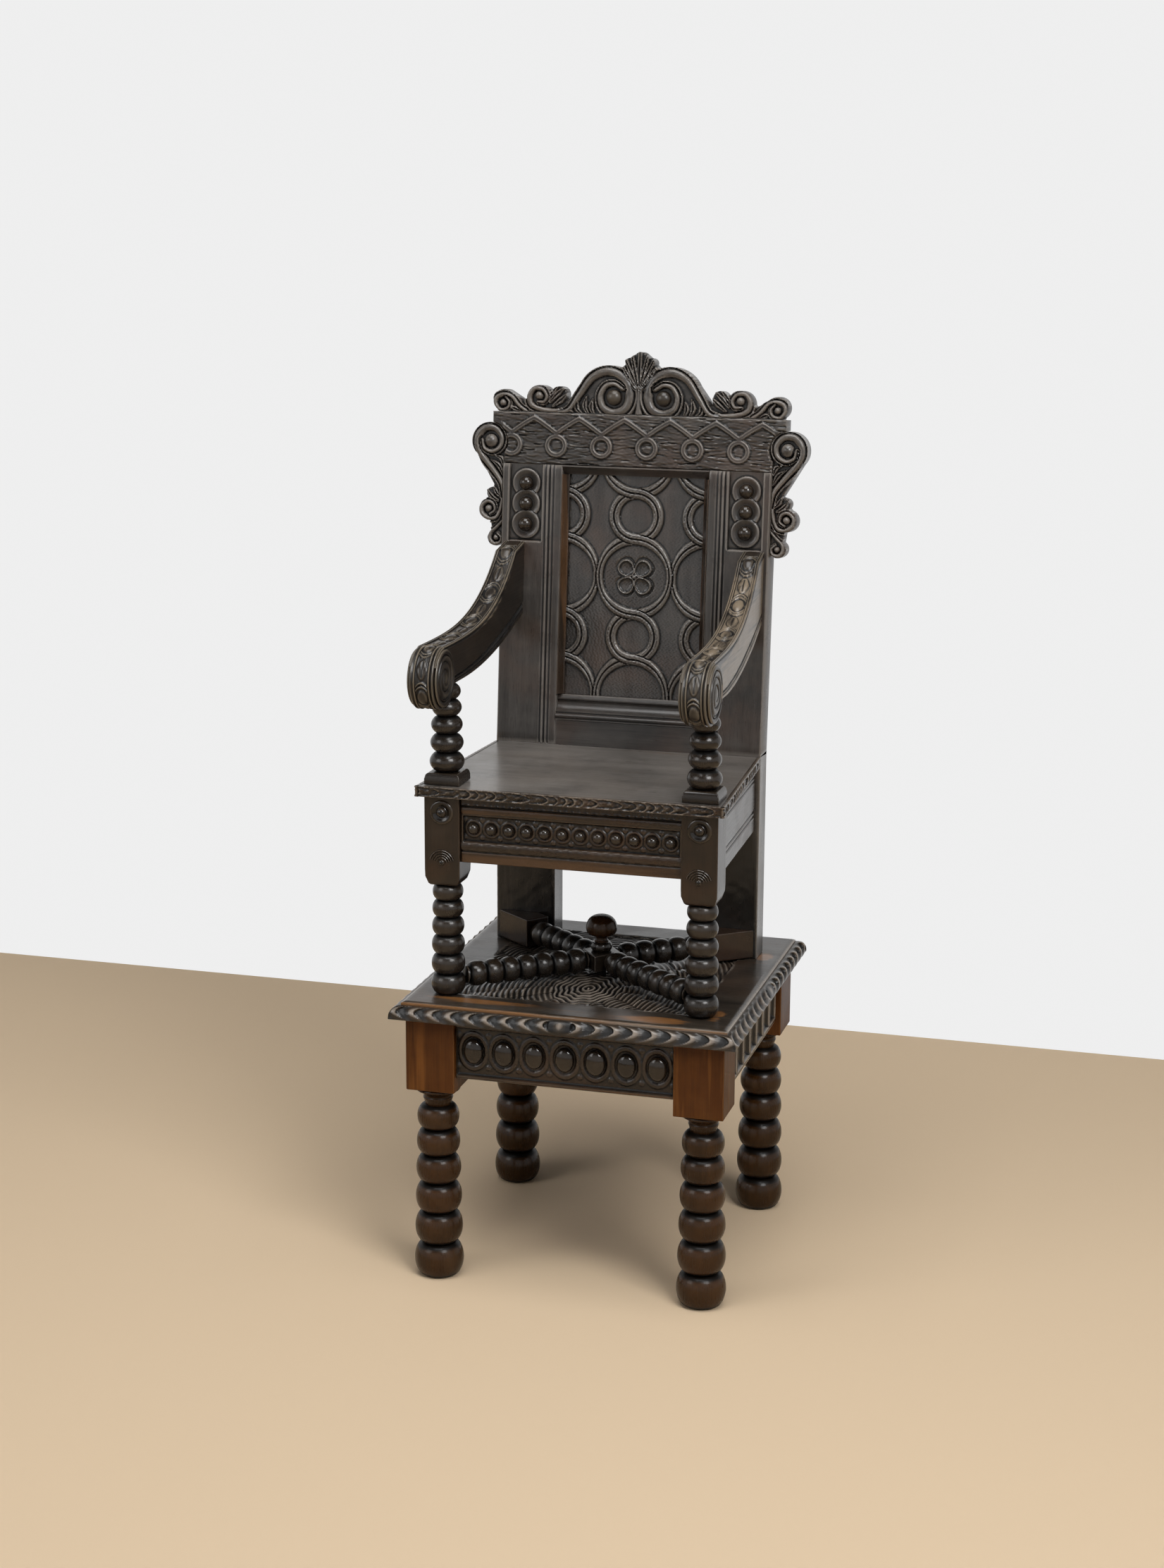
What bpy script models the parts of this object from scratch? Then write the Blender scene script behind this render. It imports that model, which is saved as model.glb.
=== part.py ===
"""Carved oak high chair: a panel-back armchair standing loose on a low bobbin-legged stand.

Units are metres, +Z is up and the front faces -Y. The origin is on the floor, under the
middle of the whole object. Run it with: blender --background --python part.py
"""

import math

import bmesh
import bpy
from mathutils import Vector

# Clearances
GAP = 0.0003                    # between parts that touch
MITRE_GAP = GAP / math.sqrt(2)  # each mitred end's share of that gap
SCREW_CLEARANCE = 0.0008        # round the screw's shaft, in every bore it passes
OVERLAP = 0.004                 # how far a turned end runs into its own block

# Stand
STAND_HEIGHT = 0.3515
TOP_WIDTH = 0.394
TOP_DEPTH = 0.390
TOP_THICKNESS = 0.0185
EDGE_WIDTH = 0.012
EDGE_HEIGHT = 0.0171
EDGE_DROP = 0.004               # moulding's top below the top board's surface
LEG_BLOCK = 0.060
LEG_INSET = 0.004               # leg block behind the top board's edge
LEG_BLOCK_HEIGHT = 0.0917
LEG_NECK_HEIGHT = 0.0235
LEG_NECK_RADIUS = 0.0185
LEG_FLARE_RADIUS = 0.0265
LEG_TOP_RADIUS = 0.0252         # uppermost bobbin
LEG_FOOT_RADIUS = 0.0297        # lowest bobbin, the foot
LEG_BOBBINS = 6
LEG_GROWTH = 0.075              # each bobbin is this share of the first one taller
APRON_HEIGHT = 0.0735
APRON_THICKNESS = 0.020
APRON_SETBACK = 0.006           # behind the leg blocks' faces

# Chair, with heights from its own feet
SEAT_HEIGHT = 0.2567
SEAT_THICKNESS = 0.0125
SEAT_FRONT_WIDTH = 0.3696
SEAT_REAR_WIDTH = 0.3394
SEAT_DEPTH = 0.265
SEAT_FRONT_REACH = 0.1753       # front edge before the stand's middle
SEAT_OVERHANG = 0.009           # past the front blocks' faces
FRONT_BLOCK = 0.043
FRONT_BLOCK_HEIGHT = 0.1087
FRONT_BLOCK_ROUNDING = 0.009
FRONT_TOP_RADIUS = 0.0182
FRONT_FOOT_RADIUS = 0.0205
FRONT_BOBBINS = 6
FRONT_GROWTH = 0.05
RAIL_HEIGHT = 0.0785
RAIL_THICKNESS = 0.020
RAIL_SETBACK = 0.0045
POST_SPAN = 0.337               # over both rear posts
POST_WIDTH = 0.076
POST_THICKNESS = 0.037

# Chair back, measured up and behind its raked front face from the seat
RAKE = math.radians(5.0)
BACK_HEIGHT = 0.3445
BOTTOM_RAIL_HEIGHT = 0.031
BOTTOM_RAIL_THICKNESS = 0.026
PANEL_SETBACK = 0.012
PANEL_THICKNESS = 0.010
SILL_HEIGHT = 0.031
SILL_PROUD = 0.003
SIDE_MOULDING_WIDTH = 0.0072
TOP_MOULDING_HEIGHT = 0.0105
MOULDING_SLOPE = 0.007          # how far a moulding falls back across its width
TOP_RAIL_HEIGHT = 0.063
TOP_RAIL_LENGTH = 0.368
TOP_RAIL_THICKNESS = 0.032
BOSS_STRIP_WIDTH = 0.042
BOSS_STRIP_HEIGHT = 0.092
BOSS_STRIP_INSET = 0.009        # behind the post's outer edge
BOSS_RECESS = 0.006
BOSS_PLATE = 0.003
BOSS_COUNT = 3
BOSS_PITCH = 0.0258
BOSS_DISC_RADIUS = 0.0126
BOSS_RADIUS = 0.0095
BOSS_RISE = 0.0085

# Crest
CREST_LENGTH = 0.371
CREST_HEIGHT = 0.076
CREST_THICKNESS = 0.024
CREST_SETBACK = 0.004
CREST_END_RADIUS = 0.0135
CREST_SCROLL_RADIUS = 0.0165
CREST_SCROLL_PITCH = 0.046      # from the end scroll in to the next one
CREST_BUD_RADIUS = 0.0095
CREST_BUD_PITCH = 0.025
CREST_BUD_LIFT = 0.006
CREST_SWEEP_RADIUS = 0.039
CREST_SWEEP_REACH = 0.0385      # sweep's middle from the centre line
CREST_SWEEP_LIFT = 0.020
PALMETTE_LOBE = 0.006
PALMETTE_HALF_WIDTH = 0.019

# Ears beside the back, placed out from the posts and down from the top rail
EAR_THICKNESS = 0.024
EAR_SETBACK = 0.004
EAR_SCROLL_RADIUS = 0.0235
EAR_SCROLL_OUT = 0.0192
EAR_SCROLL_RISE = 0.0265
EAR_WAIST_OUT = 0.0125
EAR_WAIST_DROP = 0.029
EAR_BUD_RADIUS = 0.0075
EAR_BUD_OUT = 0.0155
EAR_BUD_DROP = 0.0375
EAR_MIDDLE_RADIUS = 0.0135
EAR_MIDDLE_OUT = 0.0185
EAR_MIDDLE_DROP = 0.0575
EAR_LOW_RADIUS = 0.0105
EAR_LOW_OUT = 0.0095
EAR_LOW_DROP = 0.092

# Arms
ARM_REAR_WIDTH = 0.026
ARM_HAND_WIDTH = 0.036
ARM_REAR_INSET = 0.0175         # arm's middle inside the post's outer edge
ARM_HAND_SPLAY = 0.004          # hand's middle outside the front leg's axis
ARM_STRIP_CLEARANCE = 0.003     # arm's rear end under the boss strip
ARM_REAR_HEIGHT = 0.090         # arm's rear end, up the back
ARM_SHOULDER_DROP = 0.008       # where the swept top ends, below the rear end's top
ARM_SHOULDER_DEPTH = 0.034      # before the back's face
HAND_RADIUS = 0.0365
HAND_RISE = 0.132               # hand's middle above the seat
HAND_REACH = 0.0132             # hand's middle before the seat's front edge
ARM_SEAT_RISE = 0.1185          # flat under the arm where its support stands
ARM_SEAT_LENGTH = 0.044
HAND_CLEARANCE = 0.001          # behind the hand, before the support's top bobbin
ARM_SWEEP = 3.5                 # power of the arm's rising curve
PLINTH_HEIGHT = 0.0135
PLINTH_ROUNDING = 0.004
SUPPORT_BOBBINS = 5
SUPPORT_TOP_RADIUS = 0.0165
SUPPORT_LOW_RADIUS = 0.0205
SUPPORT_GROWTH = 0.06

# Stretcher and its screw
STRETCHER_RISE = 0.0195         # axis above the stand
STRETCHER_RADIUS = 0.0155
STRETCHER_NECK_RADIUS = 0.0085
FRONT_STRETCHER_BOBBINS = 7
REAR_STRETCHER_BOBBINS = 5
REAR_BLOCK_WIDTH = 0.033
REAR_BLOCK_HEIGHT = 0.035
REAR_BLOCK_LENGTH = 0.040
HUB_WIDTH = 0.038
HUB_HEIGHT = 0.020
HUB_FORWARD = 0.021             # before the stand's middle
SCREW_RADIUS = 0.006
SCREW_DEPTH = 0.014             # shaft's reach into the stand's top board
COLLAR_RADIUS = 0.013
COLLAR_HEIGHT = 0.0105
KNOB_NECK_RADIUS = 0.0085
KNOB_NECK_HEIGHT = 0.008
KNOB_RADIUS = 0.019
KNOB_HEIGHT = 0.026

# Proportions, as shares of the piece they shape
BOBBIN_WAIST = 0.66             # groove between two bobbins, of their radius
BOBBIN_FULLNESS = 0.7           # power of a bobbin's round: smaller is fuller
EDGE_ROUND = 0.6                # rounded part of the edge moulding's height
EDGE_FLAT = 1 / 3               # flat part of its width
NECK_HOLLOW = 0.35              # top of the leg neck's hollow, of its height
NECK_RISE = 0.65                # where the neck starts to flare
NECK_SWELL = 1.12               # its radius there, of the hollow's
FLARE_LIP = 0.12                # straight lip under the block
SILL_NOSE = 0.2                 # upright nose of the sill, of its height
SILL_COVE = 0.7                 # top of its hollow
PALMETTE_TIP = 1.4              # middle lobe's radius, of a side lobe's
PALMETTE_DROP = 2.2             # side lobes' middles below the tip
CREST_DIP = 1.2                 # low point beside the second scroll, of its radius
EAR_TAIL = 0.6                  # ear's lowest point below its low scroll's middle
COLLAR_RIM = 0.8                # collar's radius at its rims
COLLAR_BAND = 0.3               # where its straight band starts, of its height
KNOB_TIP = 0.05                 # flat on the knob's top, of its radius

# Fineness of round forms
LEG_SIDES = 16
SLIM_SIDES = 12
BOBBIN_STEPS = 6
ARC_STEP = math.radians(24)
ARM_STEPS = 12
SMOOTH_ANGLE = math.radians(38)

# Derived places
LEG_X = TOP_WIDTH / 2 - LEG_INSET - LEG_BLOCK / 2
LEG_Y = TOP_DEPTH / 2 - LEG_INSET - LEG_BLOCK / 2
UNDER_TOP = STAND_HEIGHT - TOP_THICKNESS - GAP
SEAT_FRONT_Y = -SEAT_FRONT_REACH
POST_FRONT_Y = SEAT_FRONT_Y + SEAT_DEPTH + GAP
UNDER_SEAT = SEAT_HEIGHT - SEAT_THICKNESS - GAP
FRONT_LEG_X = SEAT_FRONT_WIDTH / 2 - SEAT_OVERHANG - FRONT_BLOCK / 2
FRONT_LEG_Y = SEAT_FRONT_Y + SEAT_OVERHANG + FRONT_BLOCK / 2
POST_OUTER_X = POST_SPAN / 2
POST_INNER_X = POST_OUTER_X - POST_WIDTH
EAR_SCROLL_X = POST_OUTER_X + EAR_SCROLL_OUT
EAR_SCROLL_H = BACK_HEIGHT + EAR_SCROLL_RISE
RAIL_BOTTOM_H = BACK_HEIGHT + GAP
CREST_BASE_H = RAIL_BOTTOM_H + TOP_RAIL_HEIGHT + GAP
HAND_Y = SEAT_FRONT_Y - HAND_REACH
HAND_X = FRONT_LEG_X + ARM_HAND_SPLAY
ARM_REAR_TOP = BACK_HEIGHT - BOSS_STRIP_HEIGHT - ARM_STRIP_CLEARANCE
ARM_REAR_BOTTOM = ARM_REAR_TOP - ARM_REAR_HEIGHT
ARM_REAR_X = POST_OUTER_X - ARM_REAR_INSET
HUB_Y = -HUB_FORWARD
STAND_HALF_DEPTH = TOP_DEPTH / 2 + GAP + EDGE_WIDTH
FRONT_REACH = max(HAND_RADIUS - HAND_Y, STAND_HALF_DEPTH)
STAND_Y = (FRONT_REACH - STAND_HALF_DEPTH) / 2

# Oak tones from the photograph: linear base colour and roughness
DARK_OAK = ((0.030, 0.021, 0.016), 0.42)
RED_OAK = ((0.075, 0.032, 0.014), 0.45)
WORN_OAK = ((0.055, 0.040, 0.030), 0.38)
POLISHED_OAK = ((0.034, 0.022, 0.016), 0.30)


def clear_scene():
    """Remove whatever the scene holds."""
    for item in list(bpy.data.objects):
        bpy.data.objects.remove(item, do_unlink=True)


def oak(name, tone):
    """Return a new wood material with the tone's colour and roughness."""
    material = bpy.data.materials.new(name)
    material.use_nodes = True
    shader = material.node_tree.nodes["Principled BSDF"]
    colour, roughness = tone
    shader.inputs["Base Color"].default_value = (*colour, 1.0)
    shader.inputs["Roughness"].default_value = roughness
    shader.inputs["Metallic"].default_value = 0.0
    return material


def empty(name, location, parent=None, rotation=(0.0, 0.0, 0.0)):
    """Return an empty that carries a group of parts."""
    item = bpy.data.objects.new(name, None)
    item.location = location
    item.rotation_euler = rotation
    item.parent = parent
    bpy.context.scene.collection.objects.link(item)
    return item


def add(name, mesh, tone, parent, location=(0.0, 0.0, 0.0), rotation=(0.0, 0.0, 0.0)):
    """Turn a bmesh into a named object with its own material, and return it."""
    bmesh.ops.recalc_face_normals(mesh, faces=mesh.faces)
    data = bpy.data.meshes.new(name)
    mesh.to_mesh(data)
    mesh.free()
    data.shade_smooth()
    data.set_sharp_from_angle(angle=SMOOTH_ANGLE)
    item = bpy.data.objects.new(name, data)
    if tone:
        data.materials.append(oak(name + "_oak", tone))
    item.location = location
    item.rotation_euler = rotation
    item.parent = parent
    bpy.context.scene.collection.objects.link(item)
    return item


def join(target, tool, operation):
    """Add an exact Boolean of a hidden tool object to a target."""
    tool.hide_render = True
    tool.display_type = "WIRE"
    modifier = target.modifiers.new(tool.name, "BOOLEAN")
    modifier.operation = operation
    modifier.solver = "EXACT"
    modifier.object = tool


def box(low, high):
    """Return a bmesh box between two corners."""
    return prism([(low[0], low[1]), (high[0], low[1]), (high[0], high[1]), (low[0], high[1])],
                 low[2], high[2], "Z")


def prism(outline, low, high, axis):
    """Return a bmesh prism: an outline carried along one axis.

    The outline holds (y, z) for axis X, (x, z) for axis Y and (x, y) for axis Z.
    """
    place = {"X": lambda a, b, t: (t, a, b),
             "Y": lambda a, b, t: (a, t, b),
             "Z": lambda a, b, t: (a, b, t)}[axis]
    return loft([place(a, b, low) for a, b in outline], [place(a, b, high) for a, b in outline])


def loft(first, second):
    """Return a closed bmesh between two rings with the same number of points."""
    mesh = bmesh.new()
    start = [mesh.verts.new(point) for point in first]
    end = [mesh.verts.new(point) for point in second]
    mesh.faces.new(start)
    mesh.faces.new(end)
    for index, vert in enumerate(start):
        after = (index + 1) % len(start)
        mesh.faces.new((vert, start[after], end[after], end[index]))
    return mesh


def turned(profile, sides):
    """Return a closed bmesh turned about Z from (radius, height) points, lowest first."""
    mesh = bmesh.new()
    rings = []
    for radius, height in profile:
        angles = [math.tau * side / sides for side in range(sides)]
        rings.append([mesh.verts.new((radius * math.cos(angle), radius * math.sin(angle), height))
                      for angle in angles])
    for lower, upper in zip(rings, rings[1:]):
        for side in range(sides):
            after = (side + 1) % sides
            mesh.faces.new((lower[side], lower[after], upper[after], upper[side]))
    mesh.faces.new(rings[0])
    mesh.faces.new(rings[-1])
    return mesh


def bobbins(low, high, low_radius, high_radius, count, growth):
    """Return (radius, height) points of a row of bobbins, each taller than the one above it."""
    shares = [1 + growth * (count - 1 - index) for index in range(count)]
    unit = (high - low) / sum(shares)
    points = []
    base = low
    for index, share in enumerate(shares):
        height = unit * share
        radius = low_radius + (high_radius - low_radius) * index / max(count - 1, 1)
        first = 0 if index == 0 else 1
        for step in range(first, BOBBIN_STEPS + 1):
            angle = math.pi * (step / BOBBIN_STEPS - 0.5)
            swell = max(math.cos(angle), 0.0) ** BOBBIN_FULLNESS
            points.append((radius * (BOBBIN_WAIST + (1 - BOBBIN_WAIST) * swell),
                           base + height * (1 + math.sin(angle)) / 2))
        base += height
    return points


def arc(centre, radius, start, end):
    """Return outline points along an arc between two angles in degrees."""
    turn = math.radians(end - start)
    steps = max(2, math.ceil(abs(turn) / ARC_STEP))
    angles = [math.radians(start) + turn * step / steps for step in range(steps + 1)]
    return [(centre[0] + radius * math.cos(angle), centre[1] + radius * math.sin(angle))
            for angle in angles]


def mirrored(half):
    """Return a whole outline from its right half, which runs up to the centre line."""
    return half + [(-a, b) for a, b in reversed(half) if a > 0]


def on_back(height, depth):
    """Return the chair's (y, z) for a height up the raked back and a depth behind its face."""
    return (POST_FRONT_Y + height * math.sin(RAKE) + depth * math.cos(RAKE),
            SEAT_HEIGHT + height * math.cos(RAKE) - depth * math.sin(RAKE))


def hands():
    """Yield the two sides' names and signs."""
    yield "left", -1
    yield "right", 1


def build_stand(stand):
    """Build the stand's top board, edge mouldings, aprons and legs."""
    low = (-TOP_WIDTH / 2, -TOP_DEPTH / 2, STAND_HEIGHT - TOP_THICKNESS)
    high = (TOP_WIDTH / 2, TOP_DEPTH / 2, STAND_HEIGHT)
    board = add("stand_top", box(low, high), WORN_OAK, stand)
    bore = turned([(SCREW_RADIUS + SCREW_CLEARANCE, low[2] - TOP_THICKNESS),
                   (SCREW_RADIUS + SCREW_CLEARANCE, high[2] + TOP_THICKNESS)], SLIM_SIDES)
    join(board, add("stand_bore", bore, None, stand, (0.0, HUB_Y, 0.0)), "DIFFERENCE")

    sides = (("front", TOP_WIDTH / 2, TOP_DEPTH / 2, LEG_X, LEG_Y),
             ("right", TOP_DEPTH / 2, TOP_WIDTH / 2, LEG_Y, LEG_X),
             ("back", TOP_WIDTH / 2, TOP_DEPTH / 2, LEG_X, LEG_Y),
             ("left", TOP_DEPTH / 2, TOP_WIDTH / 2, LEG_Y, LEG_X))
    for quarter, (name, half_along, half_out, leg_along, leg_out) in enumerate(sides):
        turn = (0.0, 0.0, quarter * math.pi / 2)
        add("edge_" + name, edge_moulding(half_along, half_out), DARK_OAK, stand, rotation=turn)
        add("apron_" + name, apron(leg_along, leg_out), DARK_OAK, stand, rotation=turn)

    for row, sign_y in (("front", -1), ("back", 1)):
        for hand, sign_x in hands():
            build_leg("leg_%s_%s" % (row, hand), stand, (sign_x * LEG_X, sign_y * LEG_Y, 0.0))


def edge_moulding(half_along, half_out):
    """Return one mitred edge moulding, lying on the -Y side of the board."""
    top = STAND_HEIGHT - EDGE_DROP
    bottom = top - EDGE_HEIGHT
    reach = EDGE_WIDTH * (1 - EDGE_FLAT)
    drop = EDGE_HEIGHT * EDGE_ROUND
    curve = [(GAP + EDGE_WIDTH - reach + reach * math.cos(angle), top - drop + drop * math.sin(angle))
             for angle in (math.pi / 2, math.pi / 3, math.pi / 6, 0.0)]
    section = [(GAP, bottom), (GAP, top), *curve, (GAP + EDGE_WIDTH, bottom)]
    ends = [half_along + out - MITRE_GAP for out, _ in section]
    left = [(-end, -half_out - out, height) for end, (out, height) in zip(ends, section)]
    right = [(end, -half_out - out, height) for end, (out, height) in zip(ends, section)]
    return loft(left, right)


def apron(leg_along, leg_out):
    """Return one apron, standing between two leg blocks on the -Y side."""
    half = leg_along - LEG_BLOCK / 2 - GAP
    face = -leg_out - LEG_BLOCK / 2 + APRON_SETBACK
    return box((-half, face, UNDER_TOP - APRON_HEIGHT), (half, face + APRON_THICKNESS, UNDER_TOP))


def build_leg(name, stand, location):
    """Build one stand leg: a square block over a neck and a row of bobbins."""
    half = LEG_BLOCK / 2
    block_low = UNDER_TOP - LEG_BLOCK_HEIGHT
    leg = add(name, box((-half, -half, block_low), (half, half, UNDER_TOP)), RED_OAK, stand, location)
    turned_top = block_low - LEG_NECK_HEIGHT
    profile = bobbins(0.0, turned_top, LEG_FOOT_RADIUS, LEG_TOP_RADIUS, LEG_BOBBINS, LEG_GROWTH)
    profile += [(LEG_NECK_RADIUS, turned_top + LEG_NECK_HEIGHT * NECK_HOLLOW),
                (LEG_NECK_RADIUS * NECK_SWELL, turned_top + LEG_NECK_HEIGHT * NECK_RISE),
                (LEG_FLARE_RADIUS, block_low - LEG_NECK_HEIGHT * FLARE_LIP),
                (LEG_FLARE_RADIUS, block_low + OVERLAP)]
    join(leg, add(name + "_turning", turned(profile, LEG_SIDES), None, stand, location), "UNION")


def build_seat(chair):
    """Build the seat board, its four rails and the two front legs."""
    front = SEAT_FRONT_WIDTH / 2
    rear = SEAT_REAR_WIDTH / 2
    rear_y = POST_FRONT_Y - GAP
    plan = [(-front, SEAT_FRONT_Y), (front, SEAT_FRONT_Y), (rear, rear_y), (-rear, rear_y)]
    add("seat", prism(plan, SEAT_HEIGHT - SEAT_THICKNESS, SEAT_HEIGHT, "Z"), WORN_OAK, chair)

    low = UNDER_SEAT - RAIL_HEIGHT
    half = FRONT_LEG_X - FRONT_BLOCK / 2 - GAP
    face = FRONT_LEG_Y - FRONT_BLOCK / 2 + RAIL_SETBACK
    add("seat_rail_front", box((-half, face, low), (half, face + RAIL_THICKNESS, UNDER_SEAT)),
        RED_OAK, chair)
    half = POST_INNER_X - GAP
    face = POST_FRONT_Y + RAIL_SETBACK
    add("seat_rail_back", box((-half, face, low), (half, face + RAIL_THICKNESS, UNDER_SEAT)),
        DARK_OAK, chair)
    for hand, sign in hands():
        front_y = FRONT_LEG_Y + FRONT_BLOCK / 2 + GAP
        front_x = sign * (FRONT_LEG_X + FRONT_BLOCK / 2 - RAIL_SETBACK)
        rear_x = sign * (POST_OUTER_X - RAIL_SETBACK)
        inward = sign * RAIL_THICKNESS
        plan = [(front_x, front_y), (rear_x, rear_y), (rear_x - inward, rear_y),
                (front_x - inward, front_y)]
        add("seat_rail_" + hand, prism(plan, low, UNDER_SEAT, "Z"), DARK_OAK, chair)
        build_front_leg("front_leg_" + hand, chair, (sign * FRONT_LEG_X, FRONT_LEG_Y, 0.0))


def build_front_leg(name, chair, location):
    """Build one of the chair's front legs: a block with a rounded foot over bobbins."""
    half = FRONT_BLOCK / 2
    block_low = UNDER_SEAT - FRONT_BLOCK_HEIGHT
    block = box((-half, -half, block_low), (half, half, UNDER_SEAT))
    round_edges(block, block_low, FRONT_BLOCK_ROUNDING)
    leg = add(name, block, RED_OAK, chair, location)
    profile = bobbins(0.0, block_low, FRONT_FOOT_RADIUS, FRONT_TOP_RADIUS, FRONT_BOBBINS, FRONT_GROWTH)
    profile.append((profile[-1][0], block_low + OVERLAP))
    join(leg, add(name + "_turning", turned(profile, SLIM_SIDES), None, chair, location), "UNION")


def round_edges(mesh, height, width):
    """Round the edges of a block that lie at one height."""
    edges = [edge for edge in mesh.edges if all(abs(vert.co.z - height) < 1e-6 for vert in edge.verts)]
    bmesh.ops.bevel(mesh, geom=edges, offset=width, segments=2, profile=0.5, affect="EDGES")


def build_back(chair, back):
    """Build the rear posts and everything framed between and above them."""
    for hand, sign in hands():
        build_post(hand, sign, chair, back)
        build_boss_strip(hand, sign, back)

    half = POST_INNER_X - GAP
    add("back_bottom_rail", box((-half, 0.0, 0.0), (half, BOTTOM_RAIL_THICKNESS, BOTTOM_RAIL_HEIGHT)),
        DARK_OAK, back)
    low = BOTTOM_RAIL_HEIGHT + GAP
    add("back_panel", box((-half, PANEL_SETBACK, low),
                          (half, PANEL_SETBACK + PANEL_THICKNESS, BACK_HEIGHT)), DARK_OAK, back)
    build_panel_mouldings(back, half, low)
    add("back_top_rail", prism(top_rail_outline(), 0.0, TOP_RAIL_THICKNESS, "Y"), DARK_OAK, back)
    crest = prism(crest_outline(), CREST_SETBACK, CREST_SETBACK + CREST_THICKNESS, "Y")
    add("crest", crest, POLISHED_OAK, back)
    for hand, sign in hands():
        outline = [(sign * x, height) for x, height in ear_outline()]
        add("ear_" + hand, prism(outline, EAR_SETBACK, EAR_SETBACK + EAR_THICKNESS, "Y"),
            POLISHED_OAK, back)


def build_post(hand, sign, chair, back):
    """Build one rear post: upright below the seat, raked above it, sunk for its boss strip."""
    kink = SEAT_HEIGHT + POST_THICKNESS * (math.tan(RAKE / 2) * math.cos(RAKE) - math.sin(RAKE))
    rear_y = POST_FRONT_Y + POST_THICKNESS
    side = [(POST_FRONT_Y, 0.0), (rear_y, 0.0), (rear_y, kink),
            on_back(BACK_HEIGHT, POST_THICKNESS), on_back(BACK_HEIGHT, 0.0), (POST_FRONT_Y, SEAT_HEIGHT)]
    ends = sorted((sign * POST_INNER_X, sign * POST_OUTER_X))
    post = add("rear_post_" + hand, prism(side, ends[0], ends[1], "X"), DARK_OAK, chair)
    inner, outer = boss_strip_edges(sign)
    low = BACK_HEIGHT - BOSS_STRIP_HEIGHT
    sunk = box((inner, -BOSS_RECESS, low), (outer, BOSS_RECESS, BACK_HEIGHT + BOSS_RECESS))
    join(post, add("boss_recess_" + hand, sunk, None, back), "DIFFERENCE")


def boss_strip_edges(sign):
    """Return the left and right edges of the recess for a boss strip."""
    outer = sign * (POST_OUTER_X - BOSS_STRIP_INSET)
    return sorted((outer, outer - sign * BOSS_STRIP_WIDTH))


def build_boss_strip(hand, sign, back):
    """Build one sunk strip with a row of turned bosses."""
    left, right = boss_strip_edges(sign)
    low = BACK_HEIGHT - BOSS_STRIP_HEIGHT + GAP
    rear = BOSS_RECESS - GAP
    plate = box((left + GAP, rear - BOSS_PLATE, low), (right - GAP, rear, BACK_HEIGHT))
    strip = add("boss_strip_" + hand, plate, DARK_OAK, back)
    middle = (low + BACK_HEIGHT) / 2
    disc = BOSS_RECESS - BOSS_PLATE
    for index in range(BOSS_COUNT):
        steps = [math.radians(angle) for angle in (0, 30, 60, 80)]
        profile = [(BOSS_DISC_RADIUS, -BOSS_PLATE / 2), (BOSS_DISC_RADIUS, disc)]
        profile += [(BOSS_RADIUS * math.cos(step), disc + BOSS_RISE * math.sin(step)) for step in steps]
        height = middle + (index - (BOSS_COUNT - 1) / 2) * BOSS_PITCH
        boss = add("boss_%s_%d" % (hand, index), turned(profile, SLIM_SIDES), None, back,
                   ((left + right) / 2, rear - BOSS_PLATE, height), (math.pi / 2, 0.0, 0.0))
        join(strip, boss, "UNION")


def build_panel_mouldings(back, half, low):
    """Build the sill and the three mouldings that frame the panel."""
    rear = PANEL_SETBACK - GAP
    sill_top = low + SILL_HEIGHT
    sill = [(rear, low), (-SILL_PROUD, low), (-SILL_PROUD, low + SILL_HEIGHT * SILL_NOSE),
            (SILL_PROUD, low + SILL_HEIGHT * SILL_COVE), (MOULDING_SLOPE, sill_top), (rear, sill_top)]
    add("panel_sill", prism(sill, -half, half, "X"), DARK_OAK, back)
    top_low = BACK_HEIGHT - TOP_MOULDING_HEIGHT
    head = [(rear, top_low), (MOULDING_SLOPE, top_low), (0.0, BACK_HEIGHT), (rear, BACK_HEIGHT)]
    add("panel_moulding_top", prism(head, -half, half, "X"), DARK_OAK, back)
    for hand, sign in hands():
        inner = half - SIDE_MOULDING_WIDTH
        plan = [(sign * half, 0.0), (sign * half, rear), (sign * inner, rear),
                (sign * inner, MOULDING_SLOPE)]
        add("panel_moulding_" + hand, prism(plan, sill_top + GAP, top_low - GAP, "Z"), DARK_OAK, back)


def top_rail_outline():
    """Return the top rail's front outline, its ends hollowed to clear the ears' scrolls."""
    hollow = EAR_SCROLL_RADIUS + GAP
    end = TOP_RAIL_LENGTH / 2
    start = 360 - math.degrees(math.acos((POST_OUTER_X - EAR_SCROLL_X) / hollow))
    stop = math.degrees(math.acos((end - EAR_SCROLL_X) / hollow))
    half = [(POST_OUTER_X, RAIL_BOTTOM_H)]
    half += arc((EAR_SCROLL_X, EAR_SCROLL_H), hollow, start, stop)
    half += [(end, RAIL_BOTTOM_H + TOP_RAIL_HEIGHT)]
    return mirrored(half)


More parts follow.
